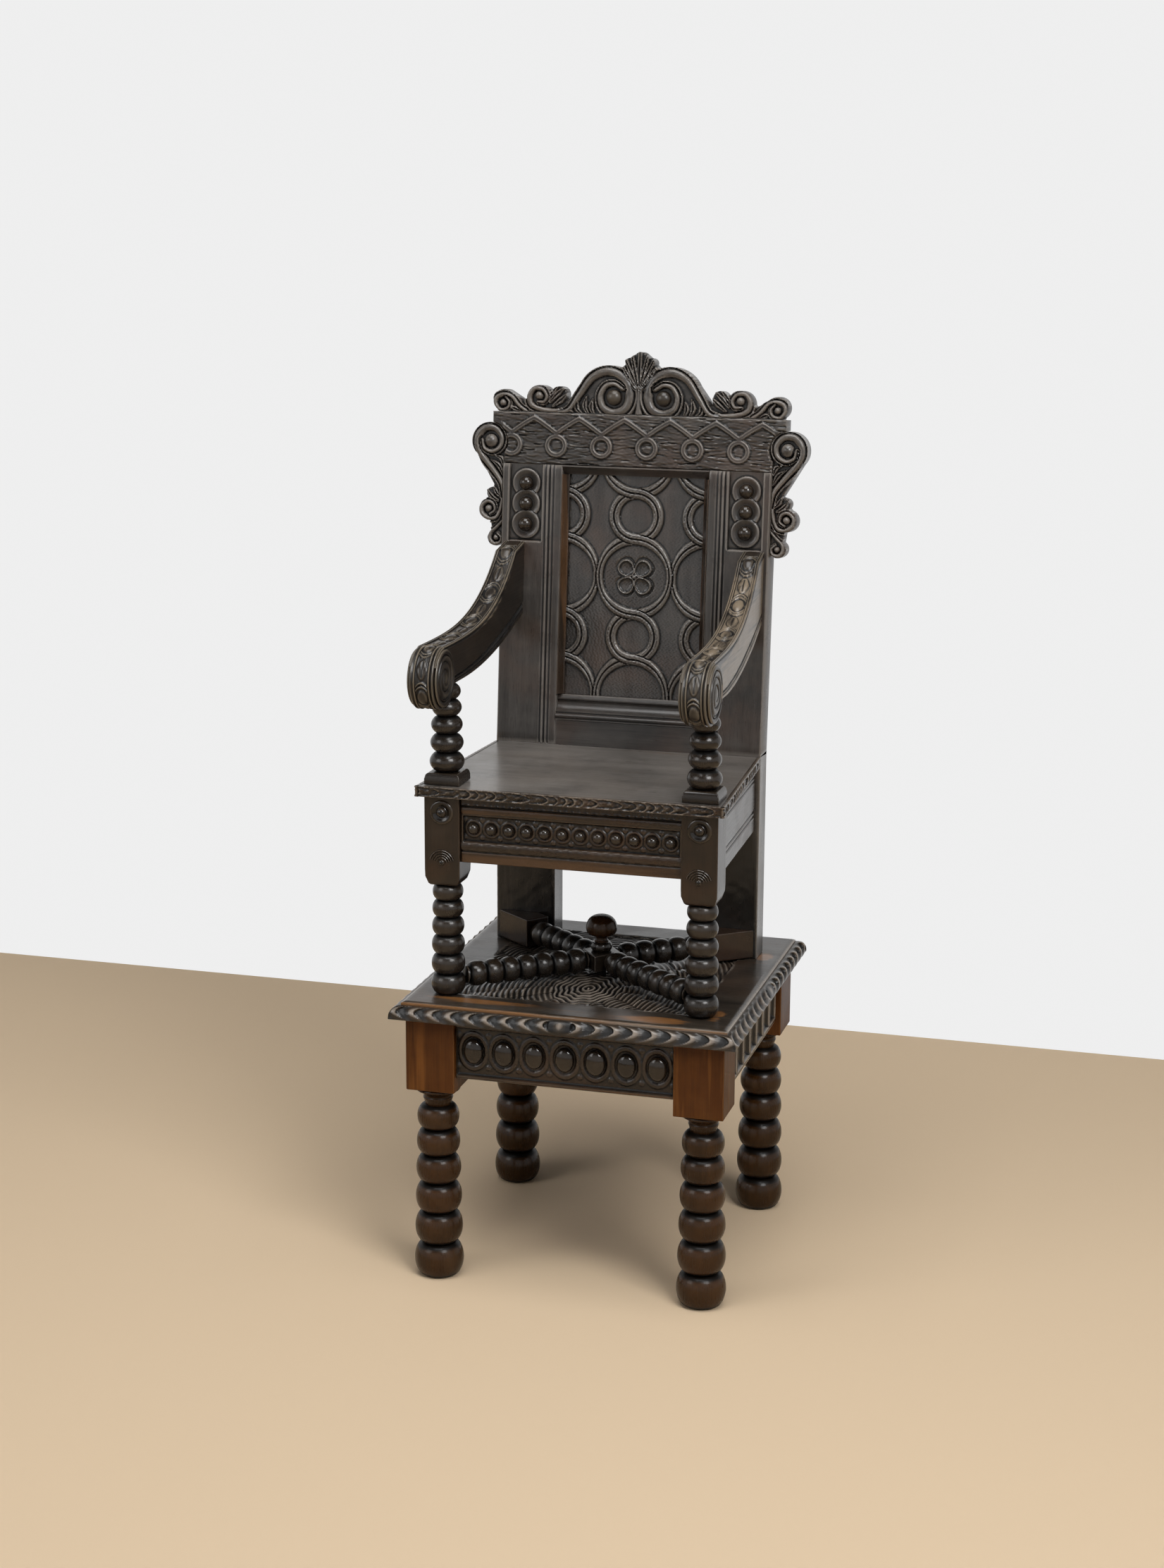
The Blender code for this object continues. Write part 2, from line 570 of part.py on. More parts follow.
def crest_outline():
    """Return the crest's outline: a palmette between sweeps, buds and scrolls."""
    base = CREST_BASE_H
    end = (CREST_LENGTH / 2 - CREST_END_RADIUS, base + CREST_END_RADIUS)
    scroll = (end[0] - CREST_SCROLL_PITCH, base + CREST_SCROLL_RADIUS)
    bud = (scroll[0] - CREST_BUD_PITCH, scroll[1] + CREST_BUD_LIFT)
    sweep = (CREST_SWEEP_REACH, base + CREST_SWEEP_LIFT)
    lobe = PALMETTE_LOBE
    tip = base + CREST_HEIGHT
    half = [(end[0] + CREST_END_RADIUS / 2, base)]
    half += arc(end, CREST_END_RADIUS, -55, 125)
    half += [(scroll[0] + CREST_SCROLL_RADIUS * CREST_DIP, base + CREST_END_RADIUS)]
    half += arc(scroll, CREST_SCROLL_RADIUS, 0, 130)
    half += arc(bud, CREST_BUD_RADIUS, 20, 190)
    half += [(bud[0] - CREST_BUD_RADIUS, bud[1] - CREST_BUD_RADIUS)]
    half += arc(sweep, CREST_SWEEP_RADIUS, 25, 112)
    half += arc((PALMETTE_HALF_WIDTH - lobe, tip - lobe * PALMETTE_DROP), lobe, -20, 100)
    half += arc((0.0, tip - lobe * PALMETTE_TIP), lobe * PALMETTE_TIP, 45, 90)
    return mirrored(half)


def ear_outline():
    """Return the right ear's outline: a big scroll over a waist, a bud and two small scrolls."""
    edge = POST_OUTER_X + GAP
    scroll = (EAR_SCROLL_X, EAR_SCROLL_H)
    bud = (edge + EAR_BUD_OUT, BACK_HEIGHT - EAR_BUD_DROP)
    middle = (edge + EAR_MIDDLE_OUT, BACK_HEIGHT - EAR_MIDDLE_DROP)
    low = (edge + EAR_LOW_OUT, BACK_HEIGHT - EAR_LOW_DROP)
    meets_post = 360 - math.degrees(math.acos((edge - scroll[0]) / EAR_SCROLL_RADIUS))
    outline = [(edge, low[1] - EAR_LOW_RADIUS * EAR_TAIL)]
    outline += arc(low, EAR_LOW_RADIUS, -125, 55)
    outline += arc(middle, EAR_MIDDLE_RADIUS, -95, 70)
    outline += arc(bud, EAR_BUD_RADIUS, -40, 75)
    outline += [(edge + EAR_WAIST_OUT, BACK_HEIGHT - EAR_WAIST_DROP)]
    outline += arc(scroll, EAR_SCROLL_RADIUS, -42, meets_post)
    return outline


def arm_outline():
    """Return the arm's side outline in (y, z), from its rear end forward and round the hand."""
    rear_top = on_back(ARM_REAR_TOP, -GAP)
    rear_bottom = on_back(ARM_REAR_BOTTOM, -GAP)
    shoulder = (rear_top[0] - ARM_SHOULDER_DEPTH, SEAT_HEIGHT + ARM_REAR_TOP - ARM_SHOULDER_DROP)
    hand = (HAND_Y, SEAT_HEIGHT + HAND_RISE)
    crown = hand[1] + HAND_RADIUS
    seat_z = SEAT_HEIGHT + ARM_SEAT_RISE
    seat_rear = FRONT_LEG_Y + ARM_SEAT_LENGTH / 2
    notch_y = FRONT_LEG_Y - SUPPORT_TOP_RADIUS - HAND_CLEARANCE
    notch_angle = math.degrees(math.acos(min((notch_y - hand[0]) / HAND_RADIUS, 1.0)))
    top = []
    bottom = []
    for step in range(ARM_STEPS):
        share = 1 - step / ARM_STEPS
        top.append((hand[0] + (shoulder[0] - hand[0]) * share,
                    crown + (shoulder[1] - crown) * share ** ARM_SWEEP))
        bottom.append((seat_rear + (rear_bottom[0] - seat_rear) * share,
                       seat_z + (rear_bottom[1] - seat_z) * share ** 2))
    round_hand = arc(hand, HAND_RADIUS, 90, 360 - notch_angle)
    return [rear_top, *top, *round_hand, (notch_y, seat_z), (seat_rear, seat_z), *reversed(bottom)]


def build_arms(chair):
    """Build both arms and the turned supports under their hands."""
    outline = arm_outline()
    rear_y = on_back(ARM_REAR_TOP, -GAP)[0]
    for hand, sign in hands():
        rings = []
        for side in (-1, 1):
            ring = []
            for y, z in outline:
                share = (y - HAND_Y) / (rear_y - HAND_Y)
                middle = HAND_X + (ARM_REAR_X - HAND_X) * share
                half = (ARM_HAND_WIDTH + (ARM_REAR_WIDTH - ARM_HAND_WIDTH) * share) / 2
                ring.append((sign * middle + side * half, y, z))
            rings.append(ring)
        add("arm_" + hand, loft(*rings), POLISHED_OAK, chair)
        build_support("arm_support_" + hand, chair, (sign * FRONT_LEG_X, FRONT_LEG_Y, SEAT_HEIGHT + GAP))


def build_support(name, chair, location):
    """Build one arm support: a square plinth under a row of bobbins."""
    half = FRONT_BLOCK / 2
    plinth = box((-half, -half, 0.0), (half, half, PLINTH_HEIGHT))
    round_edges(plinth, PLINTH_HEIGHT, PLINTH_ROUNDING)
    support = add(name, plinth, POLISHED_OAK, chair, location)
    top = ARM_SEAT_RISE - GAP * 2
    profile = bobbins(PLINTH_HEIGHT, top, SUPPORT_LOW_RADIUS, SUPPORT_TOP_RADIUS,
                      SUPPORT_BOBBINS, SUPPORT_GROWTH)
    profile.insert(0, (profile[0][0], PLINTH_HEIGHT - OVERLAP))
    join(support, add(name + "_turning", turned(profile, SLIM_SIDES), None, chair, location), "UNION")


def build_stretcher(chair):
    """Build the crossed bobbin stretcher: a hub, two front arms and two rear arms with blocks."""
    hub = Vector((0.0, HUB_Y, STRETCHER_RISE))
    start = HUB_WIDTH / 2 + GAP
    for hand, sign in hands():
        leg = Vector((sign * FRONT_LEG_X, FRONT_LEG_Y, STRETCHER_RISE))
        direction = (leg - hub).normalized()
        yaw = math.atan2(direction.y, direction.x)
        end = (leg - hub).length - FRONT_FOOT_RADIUS - GAP
        rod = turned(stretcher_profile(start, end, FRONT_STRETCHER_BOBBINS), SLIM_SIDES)
        add("stretcher_front_" + hand, rod, POLISHED_OAK, chair, hub, (0.0, math.pi / 2, yaw))

    for hand, sign in hands():
        leg = Vector((-sign * FRONT_LEG_X, FRONT_LEG_Y, STRETCHER_RISE))
        direction = (hub - leg).normalized()
        across = Vector((-direction.y, direction.x, 0.0))
        yaw = math.atan2(direction.y, direction.x)
        half = REAR_BLOCK_WIDTH / 2
        face = POST_FRONT_Y - GAP - HUB_Y
        block_start = face / direction.y - REAR_BLOCK_LENGTH
        rod_end = block_start + OVERLAP
        plan = []
        for edge in (half, -half):
            plan.append(hub + direction * block_start + across * edge)
        for edge in (-half, half):
            plan.append(hub + direction * ((face - across.y * edge) / direction.y) + across * edge)
        low = STRETCHER_RISE - REAR_BLOCK_HEIGHT / 2
        block = prism([(point.x, point.y) for point in plan], low, low + REAR_BLOCK_HEIGHT, "Z")
        name = "stretcher_rear_" + hand
        arm = add(name, block, POLISHED_OAK, chair)
        rod = turned(stretcher_profile(start, rod_end, REAR_STRETCHER_BOBBINS), SLIM_SIDES)
        tool = add(name + "_turning", rod, None, chair, hub, (0.0, math.pi / 2, yaw))
        join(arm, tool, "UNION")

    build_hub(chair, hub)


def stretcher_profile(start, end, count):
    """Return a stretcher arm's profile: even bobbins between two short necks."""
    neck = STRETCHER_NECK_RADIUS
    row = bobbins(start + neck / 2, end - neck / 2, STRETCHER_RADIUS, STRETCHER_RADIUS, count, 0.0)
    return [(neck, start), (neck, start + neck / 2 - GAP), *row, (neck, end - neck / 2 + GAP), (neck, end)]


def build_hub(chair, hub):
    """Build the hub, whose four faces stand square to the stretcher's arms."""
    leg = Vector((FRONT_LEG_X, FRONT_LEG_Y, STRETCHER_RISE))
    direction = (leg - hub).normalized()
    across_x = HUB_WIDTH / 2 / abs(direction.x)
    across_y = HUB_WIDTH / 2 / abs(direction.y)
    plan = [(across_x, 0.0), (0.0, across_y), (-across_x, 0.0), (0.0, -across_y)]
    low = STRETCHER_RISE - HUB_HEIGHT / 2
    block = add("stretcher_hub", prism(plan, low, low + HUB_HEIGHT, "Z"), POLISHED_OAK, chair,
                (0.0, HUB_Y, 0.0))
    bore = turned([(SCREW_RADIUS + SCREW_CLEARANCE, low - HUB_HEIGHT),
                   (SCREW_RADIUS + SCREW_CLEARANCE, low + HUB_HEIGHT * 2)], SLIM_SIDES)
    join(block, add("hub_bore", bore, None, chair, (0.0, HUB_Y, 0.0)), "DIFFERENCE")


def build_screw(screw):
    """Build the hand screw and the collar that rides under its knob."""
    low = STRETCHER_RISE + HUB_HEIGHT / 2 + GAP
    top = low + COLLAR_HEIGHT
    rim = COLLAR_RADIUS * COLLAR_RIM
    band = COLLAR_HEIGHT * COLLAR_BAND
    ring = turned([(rim, low), (COLLAR_RADIUS, low + band), (COLLAR_RADIUS, top - band), (rim, top)],
                  SLIM_SIDES)
    collar = add("screw_collar", ring, POLISHED_OAK, screw)
    bore = turned([(SCREW_RADIUS + SCREW_CLEARANCE, low - COLLAR_HEIGHT),
                   (SCREW_RADIUS + SCREW_CLEARANCE, top + COLLAR_HEIGHT)], SLIM_SIDES)
    join(collar, add("collar_bore", bore, None, screw), "DIFFERENCE")

    shoulder = top + GAP
    head_low = shoulder + KNOB_NECK_HEIGHT
    middle = head_low + KNOB_HEIGHT / 2
    profile = [(SCREW_RADIUS, -SCREW_DEPTH), (SCREW_RADIUS, shoulder), (KNOB_NECK_RADIUS, shoulder)]
    for angle in range(-60, 90, 20):
        turn = math.radians(angle)
        profile.append((KNOB_RADIUS * math.cos(turn), middle + KNOB_HEIGHT / 2 * math.sin(turn)))
    profile.append((KNOB_RADIUS * KNOB_TIP, head_low + KNOB_HEIGHT))
    add("screw_knob", turned(profile, LEG_SIDES), POLISHED_OAK, screw)


def main():
    """Build the stand, then the chair that stands on it."""
    clear_scene()
    stand = empty("stand_frame", (0.0, STAND_Y, 0.0))
    chair = empty("chair_frame", (0.0, 0.0, STAND_HEIGHT + GAP), stand)
    back = empty("back_frame", (0.0, POST_FRONT_Y, SEAT_HEIGHT), chair, (-RAKE, 0.0, 0.0))
    screw = empty("screw_axis", (0.0, HUB_Y, 0.0), chair)
    build_stand(stand)
    build_seat(chair)
    build_back(chair, back)
    build_arms(chair)
    build_stretcher(chair)
    build_screw(screw)


main()
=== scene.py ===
"""Looks of the carved oak high chair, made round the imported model.

Lengths are metres, +Z is up and the front faces -Y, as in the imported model. Carved faces are
height fields over a flat face; rows of bosses and bobbins are grown with geometry nodes.
"""

import logging
import math
from dataclasses import dataclass, field, replace
from enum import Enum
from typing import Callable, Optional, Sequence

import bmesh
import bpy
import numpy as np
from mathutils import Matrix, Vector
from mathutils.geometry import delaunay_2d_cdt


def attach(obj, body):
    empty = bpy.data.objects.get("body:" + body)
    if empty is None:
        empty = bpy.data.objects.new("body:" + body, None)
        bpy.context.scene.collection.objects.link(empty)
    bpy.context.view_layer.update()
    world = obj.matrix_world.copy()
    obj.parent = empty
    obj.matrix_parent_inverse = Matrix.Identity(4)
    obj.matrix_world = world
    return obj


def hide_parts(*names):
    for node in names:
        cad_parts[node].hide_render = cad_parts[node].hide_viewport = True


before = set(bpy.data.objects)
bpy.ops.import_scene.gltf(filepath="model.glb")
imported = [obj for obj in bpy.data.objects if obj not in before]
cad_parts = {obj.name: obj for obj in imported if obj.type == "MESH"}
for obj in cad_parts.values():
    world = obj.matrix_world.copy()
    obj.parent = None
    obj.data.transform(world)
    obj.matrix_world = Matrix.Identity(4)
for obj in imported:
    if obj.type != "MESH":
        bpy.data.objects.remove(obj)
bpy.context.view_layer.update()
LOG = logging.getLogger("high_chair")

Array = np.ndarray
Colour = tuple[float, float, float]
Point = tuple[float, float, float]
Flat = tuple[float, float]
HeightField = Callable[[Array, Array], Array]
Piece = bpy.types.Object
Socket = bpy.types.NodeSocket

STAND_Y = 0.00885
STAND_TOP = 0.3515
CHAIR_FOOT = 0.3518
SEAT_TOP = 0.6085
UNDER_SEAT = 0.5957
BACK_Y = 0.09885
RAKE = math.radians(5.0)
BACK_HEIGHT = 0.3445
POST_INNER = 0.0925
POST_OUTER = 0.1685
FRONT_LEG = (0.1543, -0.1448 + STAND_Y)
HUB = (0.0, -0.021 + STAND_Y, CHAIR_FOOT + 0.0195)
GAP = 0.0003
HANDS = (("left", -1), ("right", 1))

# Meshing: the sharpest smooth edge, steps between points, and offsets that count as full wear.
SMOOTH_ANGLE = math.radians(42)
TINY = 1e-12
BLOCK_STEP = 0.008
MOULDED_STEP = 0.0007
CARVED_WEAR = 0.0009
TURNED_WEAR = 0.0012
MOULDED_WEAR = 0.0013

# Noise scales of the oak; fibres and streaks have one across the grain and one along it.
FIBRE_SCALE = (520.0, 16.0)
STREAK_SCALE = (62.0, 3.2)
MOTTLE_SCALE = 17.0
SPECK_SCALE = 210.0
STAIN_SCALE = 8.0


class Grain(Enum):
    """The axis that the wood's fibres run along."""

    X = 0
    Y = 1
    Z = 2


class Cut(Enum):
    """How a carved stroke is shaped across its width."""

    ROLL = "a broad roll with a fillet along its outer edge"
    LEAF = "a pointed leaf with a vein"
    BEAD = "one plain round"


def smooth(value: Array, low: float, high: float) -> Array:
    """Ease from 0 at low to 1 at high."""
    share = np.clip((value - low) / (high - low), 0.0, 1.0)
    return share * share * (3.0 - 2.0 * share)


def round_over(offset: Array, half: float, rise: float) -> Array:
    """Give the heights of a rounded ridge, zero outside it, from offsets to its middle."""
    return rise * np.sqrt(np.clip(1.0 - (offset / half) ** 2, 0.0, None))


def gouged(a: Array, b: Array, size: float) -> Array:
    """Give the soft unevenness of a hand-worked surface, from about -1 to 1.

    Args:
        a: Places along the surface.
        b: Places up the surface.
        size: Length of one swell.

    Returns:
        Uneven numbers.
    """
    p, q = a / size * math.tau, b / size * math.tau
    waves = np.sin(p + 1.3 * np.sin(0.61 * q + 0.4)) * np.cos(0.83 * q - 0.7 * np.sin(0.47 * p))
    return 0.6 * waves + 0.4 * np.sin(2.3 * q + 1.7 * np.sin(1.1 * p) + 0.9) * np.sin(1.9 * p - 0.6)


def bell(offset: Array, width: float) -> Array:
    """Give a bell curve: 1 at its middle, and next to nothing past twice the width."""
    return np.exp(-(offset / width) ** 2)


def band(value: Array, low: float, low_end: float, high: float, high_end: float) -> Array:
    """Ease from 0 to 1 over one span and back to 0 over another."""
    return smooth(value, low, low_end) * (1.0 - smooth(value, high, high_end))


def lengths(path: Array) -> Array:
    """Give the distance of each point of a path from its start."""
    return np.concatenate([[0.0], np.cumsum(np.linalg.norm(np.diff(path, axis=0), axis=1))])


def points_at(path: Array, marks: Array) -> Array:
    """Give the points at some distances along a path."""
    done = lengths(path)
    return np.stack([np.interp(marks, done, path[:, 0]), np.interp(marks, done, path[:, 1])], -1)


def runs(*parts: tuple[float, float, int]) -> Array:
    """Give places in runs of a start, an end and a count, in order and each once."""
    return np.unique(np.concatenate([np.linspace(*part) for part in parts]))


def edge_fall(rim: Array, edge: float) -> Array:
    """Give how far a face falls where its edge is rounded, from the distances to the rim."""
    return edge - np.sqrt(np.clip(edge ** 2 - np.clip(edge - rim, 0.0, None) ** 2, 0.0, None))


def turned_rings(line: Array, sides: int) -> Array:
    """Turn a line of radius and height about the Z axis."""
    turn = np.linspace(0.0, math.tau, sides, endpoint=False)
    return np.stack([line[:, :1] * np.cos(turn), line[:, :1] * np.sin(turn),
                     np.repeat(line[:, 1:], sides, axis=1)], -1)


def curve_through(points: Sequence[Flat], steps: int = 7) -> Array:
    """Draw a smooth line through a few points.

    Args:
        points: Points in order.
        steps: Pieces between two points.

    Returns:
        Points along the line.
    """
    p = np.array(points, float)
    p = np.vstack([2 * p[0] - p[1], p, 2 * p[-1] - p[-2]])
    line = []
    for i in range(1, len(p) - 2):
        for t in np.linspace(0.0, 1.0, steps, endpoint=False):
            line.append(0.5 * (2 * p[i] + (p[i + 1] - p[i - 1]) * t
                               + (2 * p[i - 1] - 5 * p[i] + 4 * p[i + 1] - p[i + 2]) * t ** 2
                               + (3 * p[i] - p[i - 1] - 3 * p[i + 1] + p[i + 2]) * t ** 3))
    return np.array([*line, p[-2]])


def drawn_in(points: Array, axis: Flat, share: Array, much: float) -> Array:
    """Draw points in towards an upright axis, along a quarter round.

    Args:
        points: The points, which are moved.
        axis: Where the axis stands.
        share: How far each point lies along the round, from 0 to 1.
        much: How far the round's end is drawn in.

    Returns:
        The same points.
    """
    draw = 1.0 - much * (1.0 - np.sqrt(1.0 - np.clip(share, 0.0, 1.0) ** 2))
    points[:, :2] = np.array(axis) + (points[:, :2] - np.array(axis)) * draw[:, None]
    return points


def arc(centre: Flat, radius: float, start: float, end: float) -> list[Flat]:
    """Draw the points of an arc between two angles in degrees."""
    angles = np.radians(np.linspace(start, end, max(3, int(abs(end - start) / 6))))
    return [(centre[0] + radius * math.cos(t), centre[1] + radius * math.sin(t)) for t in angles]


def nearest(a: Array, b: Array, path: Array) -> tuple[Array, Array, Array]:
    """Find how far points lie from a line, where along it and on which side.

    Args:
        a: Places along the face.
        b: Places up the face.
        path: Points of the line.

    Returns:
        Distances, shares of the line's length from 0 to 1, and 1 on the line's right or -1 on its left.
    """
    steps = np.linalg.norm(np.diff(path, axis=0), axis=1)
    done = np.concatenate([[0.0], np.cumsum(steps)])
    best = np.full(np.shape(a), 1e3)
    share, side = np.zeros(np.shape(a)), np.ones(np.shape(a))
    for i, step in enumerate(steps):
        way = (path[i + 1] - path[i]) / max(step, 1e-9)
        along = np.clip((a - path[i, 0]) * way[0] + (b - path[i, 1]) * way[1], 0.0, step)
        gap = np.hypot(a - path[i, 0] - along * way[0], b - path[i, 1] - along * way[1])
        closer = gap < best
        best = np.where(closer, gap, best)
        share = np.where(closer, (done[i] + along) / done[-1], share)
        turn = (b - path[i, 1]) * way[0] - (a - path[i, 0]) * way[1]
        side = np.where(closer, np.where(turn > 0.0, -1.0, 1.0), side)
    return best, share, side


def wear_of(height: HeightField, a: Array, b: Array, reach: float = 0.0022) -> Array:
    """Tell raised, rubbed places from hollows, which the finish darkens.

    Args:
        height: The carving's height field.
        a: Places along the face.
        b: Places up the face.
        reach: How far round each place to look.

    Returns:
        Numbers from -1 in a hollow to 1 on an edge.
    """
    around = np.zeros(np.shape(a))
    for t in np.arange(8) * math.tau / 8:
        around += height(a + reach * math.cos(t), b + reach * math.sin(t)) / 8
    return np.clip((height(a, b) - around) / CARVED_WEAR, -1.0, 1.0)


@dataclass(frozen=True)
class Face:
    """A flat face that carving stands on: a runs along it, b up it and h out of it."""

    origin: Point
    along: Point = (1.0, 0.0, 0.0)
    up: Point = (0.0, 0.0, 1.0)

    def place(self, a: Array, b: Array, h: Array) -> Array:
        """Turn face places into points.

        Args:
            a: Places along the face.
            b: Places up the face.
            h: Heights out of the face.

        Returns:
            Points with a last axis of three.
        """
        a, b, h = np.broadcast_arrays(a, b, h)
        out = np.cross(self.along, self.up)
        return (np.array(self.origin) + a[..., None] * np.array(self.along)
                + b[..., None] * np.array(self.up) + h[..., None] * out)

    def sunk(self, depth: float) -> "Face":
        """Give the same face, set back by a depth."""
        return Face(tuple(self.place(0.0, 0.0, -depth)), self.along, self.up)


BACK = Face((0.0, BACK_Y, SEAT_TOP), up=(0.0, math.sin(RAKE), math.cos(RAKE)))


def on_back(points: Array) -> Array:
    """Move block points (a, depth, height) onto the raked back."""
    return BACK.place(points[:, 0], points[:, 2], -points[:, 1])


class Shell:
    """Gathers the closed forms of one piece and makes its mesh."""

    def __init__(self) -> None:
        """Start with nothing."""
        self.points: list[Array] = []
        self.wear: list[Array] = []
        self.faces: list[list[int]] = []
        self.count = 0

    def add_points(self, points: Array, wear: Array) -> Array:
        """Add points and their wear.

        Args:
            points: Points with a last axis of three.
            wear: One number for each point.

        Returns:
            The points' indices, in the shape of wear.
        """
        wear = np.broadcast_to(wear, points.shape[:-1])
        index = np.arange(wear.size).reshape(wear.shape) + self.count
        self.points.append(points.reshape(-1, 3))
        self.wear.append(wear.reshape(-1).astype(np.float32))
        self.count += wear.size
        return index

    def add_quads(self, index: Array, wrap_rows: bool = False, wrap_columns: bool = False) -> None:
        """Join a grid of indices with quads.

        Args:
            index: Indices in rows and columns.
            wrap_rows: Join the last row to the first.
            wrap_columns: Join the last column to the first.
        """
        if wrap_rows:
            index = np.vstack([index, index[:1]])
        if wrap_columns:
            index = np.hstack([index, index[:, :1]])
        quads = np.stack([index[:-1, :-1], index[:-1, 1:], index[1:, 1:], index[1:, :-1]], -1)
        self.faces += quads.reshape(-1, 4).tolist()

    def add_tube(self, rings: Array, wear: Array) -> "Shell":
        """Add a closed form from rings of points, with a flat cap on each end.

        Args:
            rings: Points in rings, one after another.
            wear: Wear for each point.

        Returns:
            This shell, as every add of a closed form does.
        """
        index = self.add_points(rings, wear)
        self.add_quads(index, wrap_columns=True)
        self.faces += [index[0].tolist(), index[-1].tolist()]
        return self

    def add_relief(self, face: Face, a: Array, b: Array, height: HeightField, thickness: float,
                   edge: float = 0.0012) -> "Shell":
        """Add a board with a carved face, square edges and a plain back.

        Args:
            face: Where the carved face lies.
            a: Places of the grid's columns.
            b: Places of the grid's rows.
            height: The carving's height field.
            thickness: Board's depth behind the face.
            edge: Radius of the rubbed edges.

        Returns:
            This shell.
        """
        grid_a, grid_b = np.meshgrid(a, b)
        rim = np.minimum.reduce([grid_a - a[0], a[-1] - grid_a, grid_b - b[0], b[-1] - grid_b])
        wear = np.clip(wear_of(height, grid_a, grid_b) + 0.9 * (rim < edge), -1.0, 1.0)
        index = self.add_points(face.place(grid_a, grid_b, height(grid_a, grid_b) - edge_fall(rim, edge)), wear)
        self.add_quads(index)
        loop = np.concatenate([index[0, :-1], index[:-1, -1], index[-1, :0:-1], index[:0:-1, 0]])
        flat_a, flat_b = grid_a.reshape(-1)[loop - index[0, 0]], grid_b.reshape(-1)[loop - index[0, 0]]
        return self.close_behind(face, loop, flat_a, flat_b, thickness)

    def close_behind(self, face: Face, loop: Array, a: Array, b: Array, thickness: float) -> "Shell":
        """Close a carved face with side walls and a back.

        Args:
            face: Where the carved face lies.
            loop: Indices round the carved face.
            a: Places of that loop along the face.
            b: Places of that loop up the face.
            thickness: Depth of the back behind the face.

        Returns:
            This shell.
        """
        back = self.add_points(face.place(a, b, np.full(a.shape, -thickness)), np.zeros(a.shape))
        self.add_quads(np.stack([loop, back]), wrap_columns=True)
        self.faces.append(back.tolist())
        return self

    def add_cutout(self, face: Face, outline: Sequence[Flat], height: HeightField, thickness: float,
                   step: float, edge: float = 0.0016) -> "Shell":
        """Add a carved board that is sawn to an outline.

        Args:
            face: Where the carved face lies.
            outline: Corners of the outline.
            height: The carving's height field.
            thickness: Board's depth behind the face.
            step: Distance between carved points.
            edge: Radius of the rounded edges.

        Returns:
            This shell.
        """
        ring = np.array([*outline, outline[0]], float)
        total = lengths(ring)[-1]
        loop = points_at(ring, np.linspace(0.0, total, int(total / step), endpoint=False))
        low, high = loop.min(0), loop.max(0)
        grid = np.meshgrid(np.arange(low[0], high[0], step), np.arange(low[1], high[1], step))
        inner = np.stack([grid[0].ravel(), grid[1].ravel()], -1)
        crossed = np.zeros(len(inner), bool)
        for start, end in zip(loop, np.roll(loop, -1, axis=0)):
            spans = (start[1] > inner[:, 1]) != (end[1] > inner[:, 1])
            rise = end[1] - start[1] if abs(end[1] - start[1]) > TINY else TINY
            crossed ^= spans & (inner[:, 0] < start[0] + (inner[:, 1] - start[1]) * (end[0] - start[0]) / rise)
        closed = np.vstack([loop, loop[:1]])
        inner = inner[crossed]
        inner = inner[nearest(inner[:, 0], inner[:, 1], closed)[0] > 0.55 * step]
        verts, _, faces, origin, _, _ = delaunay_2d_cdt(
            [Vector(p) for p in np.vstack([loop, inner])], [], [list(range(len(loop)))], 1, 1e-9)
        a, b = np.array([v[:] for v in verts]).T
        rim = nearest(a, b, closed)[0]
        wear = np.clip(wear_of(height, a, b) + 0.8 * (rim < 0.7 * edge), -1.0, 1.0)
        index = self.add_points(face.place(a, b, height(a, b) - edge_fall(rim, edge)), wear)
        self.faces += [[int(index[i]) for i in triangle] for triangle in faces]
        place = {source: i for i, sources in enumerate(origin) for source in sources}
        order = np.array([index[place[i]] for i in range(len(loop))])
        return self.close_behind(face, order, loop[:, 0], loop[:, 1], thickness)

    def add_block(self, low: Point, high: Point, radius: float = 0.0012,
                  shape: Optional[Callable[[Array], Array]] = None) -> "Shell":
        """Add a block with rounded, rubbed edges.

        Args:
            low: Lowest corner.
            high: Highest corner.
            radius: Radius of its edges.
            shape: Moves the finished points, if given.

        Returns:
            This shell.
        """
        marks = radius * np.array([0.0, 0.3, 0.65, 1.0, 2.6])
        cuts = []
        for start, end in zip(low, high):
            middle = np.linspace(start + marks[-1], end - marks[-1], max(3, int((end - start) / BLOCK_STEP)))
            cuts.append(np.concatenate([start + marks[:-1], middle, end - marks[-2::-1]]))
        sizes = [len(cut) for cut in cuts]
        index = np.full(sizes, -1)
        at = np.indices(sizes)
        skin = np.any([(at[i] == 0) | (at[i] == sizes[i] - 1) for i in range(3)], axis=0)
        points = np.stack(np.meshgrid(*cuts, indexing="ij"), -1)[skin]
        core = np.clip(points, np.array(low) + radius, np.array(high) - radius)
        lean = points - core
        wear = np.sort(np.abs(lean), axis=1)[:, 1] / radius
        points = core + radius * lean / np.linalg.norm(lean, axis=1, keepdims=True)
        index[skin] = self.add_points(shape(points) if shape else points, np.clip(1.1 * wear, 0.0, 1.0))
        for axis in range(3):
            for end in (0, -1):
                self.add_quads(np.take(index, end, axis=axis))
        return self

    def add_turning(self, profile: Sequence[Flat], sides: int, matrix: Matrix) -> "Shell":
        """Add a form turned about its own Z axis.

        Args:
            profile: Radius and height along the form, lowest first.
            sides: Points round the form.
            matrix: Where the form stands.

        Returns:
            This shell.
        """
        line = np.array(profile, float)
        soft = np.convolve(np.pad(line[:, 0], 2, mode="edge"), np.ones(5) / 5, mode="valid")
        wear = np.clip((line[:, 0] - soft) / TURNED_WEAR, -1.0, 1.0)
        rings = turned_rings(line, sides) @ np.array(matrix.to_3x3()).T + np.array(matrix.translation)
        return self.add_tube(rings, np.repeat(wear[:, None], sides, axis=1))

